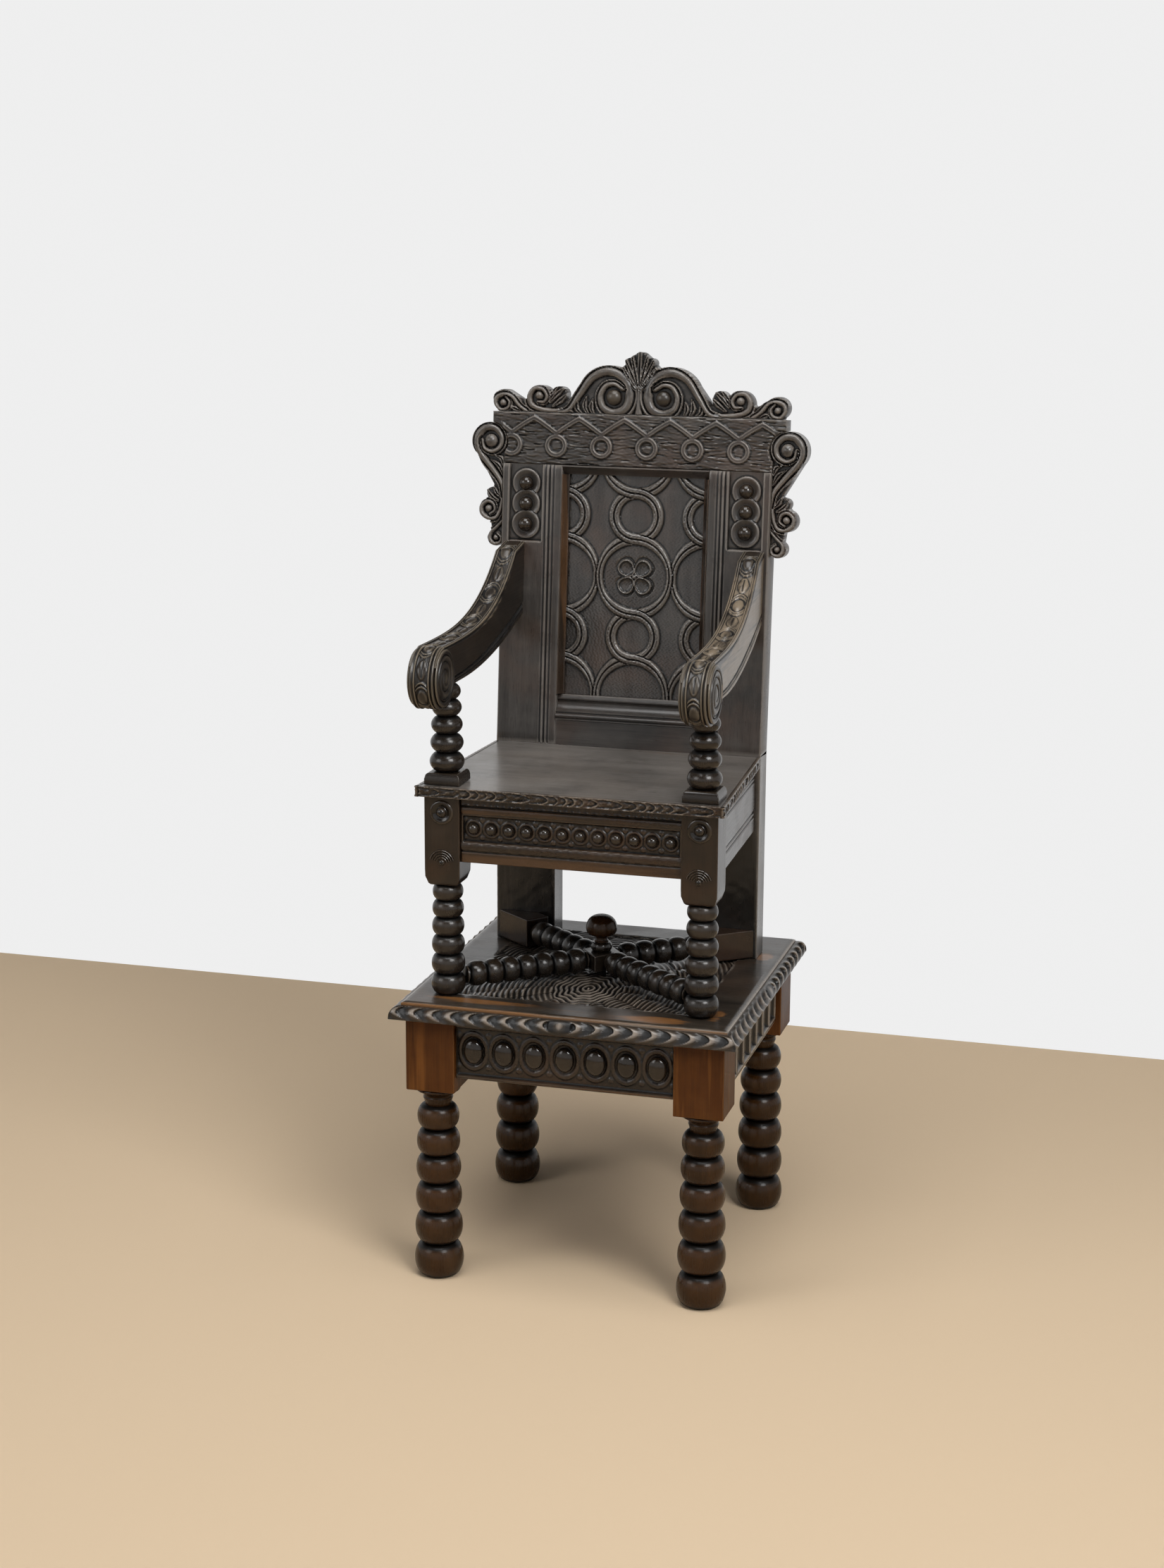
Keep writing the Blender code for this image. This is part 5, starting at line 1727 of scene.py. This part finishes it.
    def build_crest(self) -> None:
        """Build the crest: a palmette between scrolled sweeps, leaves and end scrolls."""
        big = millimetres((101, 409), (88, 414), (76, 432), (60, 454), (38, 462), (17, 452), (9, 431),
                          (15, 414), (31, 408), (46, 415), (50, 430), (43, 443), (31, 446), (20, 440))
        second = millimetres((86, 410), (104, 409), (122, 410), (137, 416), (140, 428), (133, 438), (121, 437),
                             (115, 428), (119, 420), (127, 420))
        last = millimetres((141, 410), (150, 416), (160, 427), (171, 430), (181, 426), (183, 417), (176, 409),
                           (166, 411), (163, 419), (168, 426))
        fan = [((0, 438), (0, 460), (0, 483)), ((1, 440), (6, 462), (10, 479)),
               ((2, 441), (11, 460), (17, 473)), ((3, 440), (13, 453), (20, 464)),
               ((3, 437), (11, 446), (14, 455))]
        leaves = [((112, 421), (104, 430), (93, 440)), ((114, 427), (107, 436), (101, 442)),
                  ((108, 416), (98, 424), (90, 432)), ((57, 408), (60, 416), (58, 426)),
                  ((64, 408), (68, 417), (66, 429)), ((72, 408), (78, 414), (77, 424)),
                  ((150, 409), (158, 412), (163, 414))]
        stem = millimetres((0, 407), (0, 424), (0, 442))
        strokes = [Stroke(big, (0.0046, 0.0094, 0.0040), Cut.ROLL, 0.0070),
                   Stroke(second, (0.004, 0.0058, 0.003), Cut.ROLL, 0.006),
                   Stroke(last, (0.004, 0.0050, 0.0026), Cut.ROLL, 0.006, -1)]
        strokes += [Stroke(millimetres(*line), (0.0014, 0.0040, 0.0026), Cut.LEAF, 0.0070) for line in fan]
        strokes += [Stroke(millimetres(*line), (0.0020, 0.0044, 0.0010), Cut.LEAF, 0.0052) for line in leaves]
        strokes.append(Stroke(stem, (0.0052, 0.0036, 0.0034), Cut.BEAD, 0.0058))
        eyes = ((0.1262, 0.4285, 0.0055, 0.0068), (0.1722, 0.4185, 0.0046, 0.0066))
        carving = Ornament(tuple(strokes), eyes, self.carving_ground)
        face = BACK.sunk(self.carving_setback)
        Shell().add_cutout(face, self.crest_outline(), carving.height, 0.024, 0.00105).dress(
            "crest_carved", GREYED, Grain.X, "chair", "crest")
        eye = boss("crest_eye", 0.0102, 0.0102, 0.0082, BACK)
        self.bench.row("crest_eyes", eye, 2, face.place(-0.0310, 0.4285, -0.0032), (0.0620, 0.0, 0.0), HANDLED,
                       Grain.X, "chair", "crest")

    def crest_outline(self) -> list[Flat]:
        """Draw the crest's outline.

        Returns:
            Corners of the outline.
        """
        base = self.crest_low
        end = (0.1720, base + 0.0135)
        right = [(end[0] + 0.00675, base), *arc(end, 0.0135, -55, 125), (0.1458, base + 0.0135)]
        right += arc((0.1260, base + 0.0165), 0.0165, 0, 130) + arc((0.1010, base + 0.0225), 0.0095, 20, 190)
        right += [(0.0915, base + 0.0130)] + arc((0.0385, base + 0.0200), 0.0390, 25, 112)
        right += arc((0.0130, base + 0.0628), 0.0060, -20, 100) + arc((0.0, base + 0.0676), 0.0084, 45, 90)
        return right + [(-a, b) for a, b in reversed(right) if a > 1e-6]

    def build_ear(self, hand: str, sign: int) -> None:
        """Build one ear: a big scroll over a leaf and two small scrolls.

        Args:
            hand: The side's name.
            sign: -1 on the left and 1 on the right.
        """
        top = millimetres((169, 302), (173, 320), (186, 337), (199, 352), (206, 366), (204, 380), (194, 389),
                          (180, 388), (171, 377), (173, 364), (184, 357), (195, 361), (198, 371))
        middle = millimetres((169, 300), (172, 286), (178, 276), (188, 275), (197, 281), (198, 291), (190, 298),
                             (181, 295), (179, 286), (185, 281))
        low = millimetres((170, 274), (178, 266), (185, 259), (186, 250), (180, 244), (172, 246), (170, 253),
                          (175, 258))
        leaves = [((176, 298), (184, 303), (190, 311)), ((173, 303), (178, 308), (182, 316)),
                  ((170, 330), (176, 341), (186, 348)), ((170, 342), (173, 350), (180, 353))]
        strokes = [Stroke(top, (0.0044, 0.0074, 0.0034), Cut.ROLL, 0.0068),
                   Stroke(middle, (0.0036, 0.0050, 0.0026), Cut.ROLL, 0.0062),
                   Stroke(low, (0.0030, 0.0044, 0.0024), Cut.ROLL, 0.0058, -1)]
        strokes += [Stroke(millimetres(*line), (0.0020, 0.0040, 0.0010), Cut.LEAF, 0.0055) for line in leaves]
        eyes = ((0.1865, 0.3715, 0.0085, 0.0090), (0.1880, 0.2880, 0.0050, 0.0068),
                (0.1775, 0.2525, 0.0040, 0.0064))
        carving = Ornament(tuple(strokes), eyes, self.carving_ground)
        edge = POST_OUTER + GAP
        x, h = self.ear_scroll
        meets = 360 - math.degrees(math.acos((edge - x) / self.ear_radius))
        outline = [(edge, 0.2462), *arc((edge + 0.0095, 0.2525), 0.0105, -125, 55)]
        outline += arc((edge + 0.0185, 0.2870), 0.0135, -95, 70) + arc((edge + 0.0155, 0.3070), 0.0075, -40, 75)
        outline += [(edge + 0.0125, 0.3155), *arc((x, h), self.ear_radius, -42, meets)]
        outline = [(sign * a, b) for a, b in outline]
        Shell().add_cutout(BACK.sunk(self.carving_setback), outline, carving.height, 0.024, 0.00095).dress(
            "ear_%s_carved" % hand, GREYED, Grain.Z, "chair", "ear_" + hand)


@dataclass
class Arm(Assembly):
    """One swept arm with a carved top, a rolled hand and a bobbin support."""

    hand: str
    sign: int
    rear_half: float = 0.0128
    fore_half: float = 0.0158
    rear_x: float = 0.1510
    hand_x: float = 0.1583
    hand_radius: float = 0.0362
    hand_middle: Flat = (-0.1885 + STAND_Y, SEAT_TOP + 0.132)
    seat_rise: float = 0.1185
    sweep: float = 3.5
    flat_steps: int = 30
    sweep_steps: int = 230
    flank_offset: float = 0.0160
    plinth_half: float = 0.0215
    plinth_height: float = 0.0138
    plinth_round: float = 0.0065

    def build(self) -> None:
        """Build and dress the arm and its support."""
        shell = Shell()
        self.add_roll(shell, self.add_beam(shell))
        shell.dress("arm_%s_carved" % self.hand, HANDLED, Grain.Y, "chair", "arm_" + self.hand, self.bare_and_painted_light)
        self.build_support()

    def share_back(self, y: Array) -> Array:
        """Give how far places lie from the hand, at 0, to the back, at 1."""
        return np.clip((y - self.hand_middle[0]) / (BACK_Y + 0.02 - self.hand_middle[0]), 0.0, 1.0)

    def bare_and_painted_light(self, points: Array) -> Array:
        """Paint the arm paler: rubbed wear along its top, and painted sheen on its outer side.

        Args:
            points: The arm's points.

        Returns:
            Share of the paler colour from 0 to 1.
        """
        top = self.stations()[0]
        order = np.argsort(top[:, 0])
        y, rise = points[:, 1], points[:, 2] - SEAT_TOP
        below = np.interp(y, top[order, 0], top[order, 1]) - points[:, 2]
        level = (0.44 if self.sign > 0 else 0.26) * band(rise, 0.155, 0.175, 0.220, 0.245)
        front, rear = self.hand_x + self.fore_half, self.rear_x + self.rear_half
        aside = self.sign * points[:, 0] - (front + (rear - front) * self.share_back(y))
        # Painted sheen along the arm's outer side.
        outer = smooth(aside, -0.0050, -0.0035) * smooth(y - self.hand_middle[0], 0.020, 0.034)
        return np.maximum(level * (1.0 - smooth(below, 0.006, 0.016)),
                          0.46 * outer * smooth(below, 0.003, 0.010))

    @staticmethod
    def motif(along: Array, across: Array) -> Array:
        """Give the heights of ovals, crescents and leaves along the arm's top.

        Args:
            along: Distance along the arm.
            across: Distance from its middle.

        Returns:
            Heights over the sunk strip.
        """
        pitch = 0.072
        near = along - pitch / 2 - np.round((along - pitch / 2) / pitch) * pitch
        level = round_over(np.hypot(near / 0.0110, across / 0.0066), 1.0, 0.0030)
        for start in (0.0152, 0.0200):
            bow = np.abs(near) - start + 0.0052 * (across / 0.0070) ** 2
            level = np.maximum(level, round_over(bow, 0.0017, 0.0020))
        between = pitch / 2 - np.abs(near)
        leaf = np.hypot(between / 0.0125, across / (0.0066 - 0.10 * np.clip(between, 0.0, 0.02)))
        vein = 0.0009 * bell(across, 0.0012) * (leaf < 0.8)
        level = np.maximum(level, round_over(leaf, 1.0, 0.0020) - vein)
        return np.where(along < 0.016, 0.0, level - 0.0018)

    def stations(self) -> tuple[Array, Array]:
        """Draw the arm's top and bottom lines, from the back to inside the hand.

        Returns:
            Points (y, z) along the top, and as many along the bottom.
        """
        rear_top, rear_low = (BACK.place(0.0, up, GAP)[1:] for up in (0.2495, 0.1595))
        shoulder = np.array([rear_top[0] - 0.034, SEAT_TOP + 0.2415])
        middle = np.array(self.hand_middle)
        crown = middle + (0.0, self.hand_radius)
        share = np.linspace(1.0, 0.0, self.sweep_steps)
        sweep = np.stack([crown[0] + (shoulder[0] - crown[0]) * share,
                          crown[1] + (shoulder[1] - crown[1]) * share ** self.sweep], -1)
        share = np.linspace(0.0, 1.0, self.flat_steps, endpoint=False)
        flat = rear_top + (shoulder - rear_top) * share[:, None]
        turn = np.radians(np.linspace(93, 150, 12))
        roll = middle + 0.97 * self.hand_radius * np.stack([np.cos(turn), np.sin(turn)], -1)
        seat_z, seat_rear = SEAT_TOP + self.seat_rise, FRONT_LEG[1] + 0.022
        share = np.linspace(1.0, 0.0, len(flat) + len(sweep))
        low = np.stack([seat_rear + (rear_low[0] - seat_rear) * share,
                        seat_z + (rear_low[1] - seat_z) * share ** 2], -1)
        front = np.stack([np.linspace(seat_rear - 0.001, FRONT_LEG[1] - 0.0165, 12), np.full(12, seat_z)], -1)
        return np.vstack([flat, sweep, roll]), np.vstack([low, front])

    def add_beam(self, shell: Shell) -> float:
        """Add the swept beam with its carved top and moulded sides.

        Args:
            shell: The arm's shell.

        Returns:
            Length of the top line from the back to the hand's crown.
        """
        top, low = self.stations()
        run = lengths(top)
        way = np.gradient(top, axis=0)
        way /= np.linalg.norm(way, axis=1, keepdims=True)
        share = self.share_back(top[:, :1])
        middle = self.hand_x + (self.rear_x - self.hand_x) * share
        half = self.fore_half + (self.rear_half - self.fore_half) * share
        rim = np.linspace(0.0, 0.0050, 11)
        across = np.concatenate([rim - half, np.linspace(-1.0, 1.0, 19) * (half - 0.0056),
                                 half - rim[::-1]], axis=1)
        fillet = half - np.abs(across)
        along = np.repeat(run[:, None], across.shape[1], axis=1)
        strip = smooth(fillet, 0.0046, 0.0052)
        cuts = bell(fillet - 0.0022, 0.0005) + bell(fillet - 0.0046, 0.0005)
        height = strip * self.motif(along, across) - 0.0010 * cuts
        height = height - 0.0009 * (1.0 - smooth(fillet, 0.0, 0.0011))
        wear = strip * wear_of(self.motif, along, across) + (1.0 - strip) * (0.8 - 1.7 * cuts)
        wear = np.clip(wear, -1.0, 1.0)
        lid = np.stack([middle + across, top[:, :1] + way[:, 1:] * height,
                        top[:, 1:] - way[:, :1] * height], -1)
        length = np.linalg.norm(top - low, axis=1)[:, None]
        down = np.linspace(0.0, 1.0, 46)[None, 1:]
        depth, left = down * length, (1.0 - down) * length
        groove = 0.0014 * bell(depth - 0.0050, 0.0011) + 0.0026 * bell(left - 0.0130, 0.0016)
        groove = groove + 0.0016 * bell(left - 0.0075, 0.0011) + 0.0014 * (1.0 - smooth(left, 0.0, 0.0018))
        side_wear = 0.9 * (left < 0.002) - 700.0 * groove * (left > 0.002) + 0.7 * (depth < 0.0025)
        side_wear = np.clip(side_wear, -1.0, 1.0)
        base_y, base_z = (top[:, i, None] + (low - top)[:, i, None] * down for i in (0, 1))
        sides = [np.stack([middle + flank * (half - groove), base_y, base_z], -1) for flank in (1, -1)]
        rings = np.concatenate([lid, sides[0], sides[1][:, ::-1]], axis=1)
        rings[..., 0] *= self.sign
        shell.add_tube(rings, np.concatenate([wear, side_wear, side_wear[:, ::-1]], axis=1))
        return float(run[self.flat_steps + self.sweep_steps - 1])

    def add_roll(self, shell: Shell, run: float) -> None:
        """Add the rolled hand: a carved strip between reeds, with a scroll on each side.

        Args:
            shell: The arm's shell.
            run: Length of the arm's top line before the hand.
        """
        radius = self.hand_radius
        side = [(self.flank_offset, r) for r in np.linspace(0.0008, 0.0270, 44)]
        for middle, high, half in ((self.flank_offset, 0.0302, 0.0030), (0.0124, 0.0336, 0.0027)):
            side += [(middle + half * math.cos(t) * 0.8, high + half * math.sin(t))
                     for t in np.linspace(-0.9, 1.5, 9)]
        side += [(0.0100, radius - 0.0014), (0.0096, radius), (0.0080, radius), (0.0074, radius - 0.0014)]
        side += [(x, radius - 0.0001) for x in np.linspace(0.0068, 0.0, 8, endpoint=False)]
        line = np.array(side + [(0.0, radius - 0.0001)] + [(-x, r) for x, r in reversed(side)])
        turn = np.linspace(0.0, math.tau, 220, endpoint=False)
        offset, reach, angle = np.broadcast_arrays(line[:, 0], line[:, 1], turn[:, None])
        strip_here = np.abs(offset) < 0.0070
        along = run + radius * (angle - math.pi / 2)
        lift = np.where(strip_here, self.motif(along, offset), 0.0)
        on_flank = (np.abs(np.abs(offset) - self.flank_offset) < 1e-6) & (reach < 0.0271)
        phase = (reach - 0.0085) / 0.0090 - angle / math.tau
        coil = np.abs(np.sin(math.pi * phase)) ** 0.6 * (1.0 - smooth(reach, 0.0255, 0.0270))
        coil = np.where(reach < 0.0085, 0.35 + round_over(reach, 0.0086, 0.75), coil)
        shift = np.where(on_flank, np.sign(offset) * 0.0027 * coil, 0.0)
        soft = (np.roll(line, 2, axis=0) + np.roll(line, -2, axis=0)) / 2
        profile_wear = np.clip((line[:, 1] - soft[:, 1]) / 0.0007, -1.0, 1.0)
        wear = np.where(on_flank, 1.2 * coil - 0.8, profile_wear)
        wear = np.where(strip_here, wear_of(self.motif, along, offset), wear)
        y = self.hand_middle[0] + (reach + lift) * np.cos(angle)
        z = self.hand_middle[1] + (reach + lift) * np.sin(angle)
        notch = FRONT_LEG[1] - 0.0178
        y = np.where((z < SEAT_TOP + self.seat_rise) & (y > notch), notch, y)
        rings = np.stack([self.sign * (self.hand_x + offset + shift), y, z], -1)
        index = shell.add_points(rings, np.clip(wear, -1.0, 1.0))
        shell.add_quads(index, wrap_rows=True)
        shell.faces += [index[:, 0].tolist(), index[:, -1].tolist()]

    def build_support(self) -> None:
        """Build the support: a cushioned plinth under five bobbins."""
        name = "arm_support_" + self.hand
        x, y, half = self.sign * FRONT_LEG[0], FRONT_LEG[1], self.plinth_half
        low, high = SEAT_TOP + GAP, SEAT_TOP + self.plinth_height

        def cushion(points: Array) -> Array:
            """Round the plinth in towards its top."""
            return drawn_in(points, (x, y), (points[:, 2] - high + self.plinth_round) / self.plinth_round, 0.22)

        Shell().add_block((x - half, y - half, low), (x + half, y + half, high), 0.0009, cushion).dress(
            name + "_plinth", WAXED, Grain.X, "chair", name)
        self.bench.bobbins(name + "_bobbins", Matrix.Translation((x, y, high)), 5, self.seat_rise - 0.0143,
                           0.0205, 0.0165, 0.06, Grain.Z, "chair", name, discs=True)


@dataclass
class Stretcher(Assembly):
    """The crossed bobbin stretcher, its hub and the hand screw through it."""

    radius: float = 0.0155
    neck: float = 0.0085
    leg_reach: float = 0.0208
    hub_half: float = 0.019
    hub_height: float = 0.020
    block_half: float = 0.0165
    block_height: float = 0.035
    block_length: float = 0.040
    collar_low: float = 0.0298
    collar_height: float = 0.0108

    def build(self) -> None:
        """Build and dress the stretcher and the screw."""
        way = Vector((FRONT_LEG[0], FRONT_LEG[1], HUB[2])) - Vector(HUB)
        start, end = self.hub_half + GAP, way.length - self.leg_reach
        way.normalize()
        for hand, sign in HANDS:
            self.build_rod("stretcher_front_" + hand, Vector((sign * way.x, way.y, 0.0)), start, end, 7)
        limit = BACK_Y - GAP
        for hand, sign in HANDS:
            name, rear = "stretcher_rear_" + hand, Vector((sign * way.x, -way.y, 0.0))
            block_start = (limit - HUB[1]) / rear.y - self.block_length
            self.build_rod(name, rear, start, block_start + 0.002, 5)
            self.build_block(name, rear, block_start, limit)
        self.build_hub(way)
        self.build_screw()

    def build_rod(self, name: str, way: Vector, start: float, end: float, count: int) -> None:
        """Build one arm of the stretcher: a collared core and a row of bobbins.

        Args:
            name: The arm's name.
            way: Its direction from the hub.
            start: Where it starts along that direction.
            end: Where it ends.
            count: Number of bobbins.
        """
        place = Matrix.Translation(Vector(HUB)) @ way.to_track_quat("Z", "Y").to_matrix().to_4x4()
        neck, ring = self.neck, self.neck + 0.0022
        profile = [(neck, start), (ring, start + 0.0010), (ring, start + 0.0026), (neck, start + 0.0036),
                   (neck, end - 0.0036), (ring, end - 0.0026), (ring, end - 0.0010), (neck, end)]
        Shell().add_turning(profile, 24, place).dress(name + "_core", WAXED, Grain.X, "chair", name)
        row = place @ Matrix.Translation((0.0, 0.0, start + neck / 2))
        self.bench.bobbins(name + "_bobbins", row, count, end - start - neck, self.radius, 0.985 * self.radius,
                           0.004, Grain.X, "chair", name)

    def build_block(self, name: str, way: Vector, start: float, limit: float) -> None:
        """Build the square block that ends a rear arm against its post.

        Args:
            name: The arm's name.
            way: Its direction from the hub.
            start: Where the block starts along that direction.
            limit: The post's front face.
        """
        along = np.array(way)
        aside = np.array([-way.y, way.x, 0.0])

        def place(points: Array) -> Array:
            """Turn the block along its arm and cut it to the post.

            Args:
                points: The block's points.

            Returns:
                The points in place.
            """
            moved = np.array(HUB) + points[:, :1] * along + points[:, 1:2] * aside
            moved[:, 2] += points[:, 2]
            past = (moved[:, 1] - limit) / along[1]
            stretch = np.where(points[:, 0] > start + self.block_length / 2, past, np.maximum(past, 0.0))
            return moved - stretch[:, None] * along

        half, tall = self.block_half, self.block_height / 2
        Shell().add_block((start, -half, -tall), (start + self.block_length, half, tall), 0.0012, place).dress(
            name + "_block", DARK, Grain.X, "chair", name)

    def build_hub(self, way: Vector) -> None:
        """Build the hub, whose four faces stand square to the stretcher's arms.

        Args:
            way: Direction of the right front arm.
        """
        wide, deep = self.hub_half / abs(way.x) / 2, self.hub_half / abs(way.y) / 2
        half, tall = self.hub_half, self.hub_height / 2

        def lozenge(points: Array) -> Array:
            """Turn a square block into the hub's lozenge."""
            u, v = points[:, 0] / half, points[:, 1] / half
            return np.stack([HUB[0] + (u - v) * wide, HUB[1] + (u + v) * deep, HUB[2] + points[:, 2]], -1)

        Shell().add_block((-half, -half, -tall), (half, half, tall), 0.0014, lozenge).dress(
            "stretcher_hub_block", WAXED, Grain.X, "chair", "stretcher_hub")

    def build_screw(self) -> None:
        """Build the collar and the mushroom knob of the hand screw."""
        place = Matrix.Translation((HUB[0], HUB[1], CHAIR_FOOT))
        low = self.collar_low
        ring = curve_through([(0.0066, low), (0.0102, low), (0.0124, low + 0.0018), (0.0130, low + 0.0048),
                              (0.0124, low + 0.0078), (0.0104, low + 0.0104), (0.0066, low + 0.0105)], 6)
        Shell().add_turning(ring, 44, place).dress(
            "screw_collar_turned", WAXED, Grain.Z, "collar", "screw_collar")
        rise = low + self.collar_height
        head = [(0.0084, 0.0002), (0.0086, 0.0016), (0.0074, 0.0030), (0.0072, 0.0066), (0.0090, 0.0084),
                (0.0140, 0.0092), (0.0176, 0.0120), (0.0189, 0.0170), (0.0184, 0.0220), (0.0160, 0.0275),
                (0.0112, 0.0316), (0.0056, 0.0335), (0.0006, 0.0339)]
        knob = curve_through([(radius, rise + up) for radius, up in head], 6)
        Shell().add_turning([(0.0058, -0.0138), (0.0058, rise), *knob], 52, place).dress(
            "screw_knob_turned", POLISHED, Grain.Z, "knob", "screw_knob")


@dataclass(frozen=True)
class Studio:
    """The pale floor and wall, the soft lamps and the camera at the photograph's view."""

    eye: Point = (0.8349, -3.06135, 1.3356)
    yaw: float = 0.27505
    pitch: float = -0.23205
    roll: float = 0.00473
    focal: float = 3847.1
    image_height: float = 2225.0
    sensor: float = 36.0
    floor_tone: Colour = (0.58, 0.447, 0.304)
    wall_tone: Colour = (0.86, 0.86, 0.86)
    floor_end: float = 0.9
    room_half: float = 8.0
    room_height: float = 5.0

    def build(self) -> None:
        """Build the stage, the lamps and the camera."""
        far, join, high = self.room_half, self.floor_end, self.room_height
        floors = (("studio_floor", -far, join, self.floor_tone, False),
                  ("studio_far_floor", join, far, self.wall_tone, True))
        for name, near, end, tone, plain in floors:
            edges = ((-far, near, 0.0), (far, near, 0.0), (far, end, 0.0), (-far, end, 0.0))
            self.build_plane(name, edges, tone, plain)
        corners = ((-far, -far), (far, -far), (far, far), (-far, far))
        for index, (start, end) in enumerate(zip(corners, corners[1:] + corners[:1])):
            edges = ((*start, 0.0), (*end, 0.0), (*end, high), (*start, high))
            self.build_plane("studio_wall_%d" % index, edges, self.wall_tone, plain=True)
        self.build_lamp("key_lamp", (2.2, -2.2, 3.0), 1.6, 104.0)
        self.build_lamp("fill_lamp", (-2.4, -2.4, 2.2), 1.6, 30.0)
        self.build_lamp("top_lamp", (0.1, -0.9, 3.5), 1.9, 76.0)
        world = bpy.data.worlds.new("studio_world")
        bpy.context.scene.world = world
        world.use_nodes = True
        background = world.node_tree.nodes["Background"]
        NodeWriter(world.node_tree).wire(background, {"Color": (0.95, 0.97, 1.0, 1.0), "Strength": 0.15})
        self.build_camera()

    @staticmethod
    def build_plane(name: str, corners: Sequence[Point], tone: Colour, plain: bool = False) -> None:
        """Build one plain plane of the stage.

        Args:
            name: The plane's name.
            corners: Its four corners.
            tone: Its colour.
            plain: Whether it shows its colour evenly, however the lamps fall on it.
        """
        mesh = bpy.data.meshes.new(name)
        mesh.from_pydata(corners, [], [(0, 1, 2, 3)])
        tree = ShaderTree(name + "_paint")
        tree.wire(tree.shader, {"Base Color": (*tone, 1.0), "Roughness": 0.7, "Specular IOR Level": 0.25})
        if plain:
            rays = tree.node("LightPath", {}).outputs
            seen = tree.math("MAXIMUM", rays["Is Camera Ray"], rays["Is Glossy Ray"])
            seen = tree.math("MAXIMUM", seen, rays["Is Transmission Ray"])
            even = tree.node("Emission", {"Color": (*tone, 1.0), "Strength": 1.0})
            both = tree.node("MixShader", {0: seen, 1: tree.shader.outputs[0], 2: even.outputs[0]})
            tree.wire(tree.tree.nodes["Material Output"], {"Surface": both.outputs[0]})
        mesh.materials.append(tree.material)
        item = bpy.data.objects.new(name, mesh)
        bpy.context.scene.collection.objects.link(item)

    @staticmethod
    def build_lamp(name: str, place: Point, size: float, power: float) -> None:
        """Build one soft lamp that faces the chair.

        Args:
            name: The lamp's name.
            place: Where it hangs.
            size: Width of its square face.
            power: Its power in watts.
        """
        light = bpy.data.lights.new(name, "AREA")
        light.size, light.energy = size, power
        item = bpy.data.objects.new(name, light)
        item.location = place
        item.rotation_euler = (Vector((0.0, 0.0, 0.6)) - Vector(place)).to_track_quat("-Z", "Y").to_euler()
        bpy.context.scene.collection.objects.link(item)

    def build_camera(self) -> None:
        """Build the camera from the photograph's solved view."""
        ahead = Vector((-math.sin(self.yaw) * math.cos(self.pitch), math.cos(self.yaw) * math.cos(self.pitch),
                        math.sin(self.pitch)))
        right = Vector((math.cos(self.yaw), math.sin(self.yaw), 0.0))
        up = right.cross(ahead)
        level = right * math.cos(self.roll) + up * math.sin(self.roll)
        upright = up * math.cos(self.roll) - right * math.sin(self.roll)
        turn = Matrix((level, upright, -ahead)).transposed().to_4x4()
        lens = bpy.data.cameras.new("photo_camera")
        lens.sensor_fit = "VERTICAL"
        lens.sensor_height = self.sensor
        lens.lens = self.focal * self.sensor / self.image_height
        camera = bpy.data.objects.new("photo_camera", lens)
        camera.matrix_world = Matrix.Translation(self.eye) @ turn
        bpy.context.scene.collection.objects.link(camera)
        bpy.context.scene.camera = camera


def main() -> None:
    """Build every sub-assembly in order."""
    logging.basicConfig(level=logging.INFO, format="%(message)s")
    bpy.context.scene.view_settings.view_transform = "Standard"
    Studio().build()
    bench = Workbench()
    for kind in (Stand, Seat, Back):
        kind(bench).build()
    for hand, sign in HANDS:
        Arm(bench, hand, sign).build()
    Stretcher(bench).build()
    bench.clear()


if __name__ == "__main__":
    main()
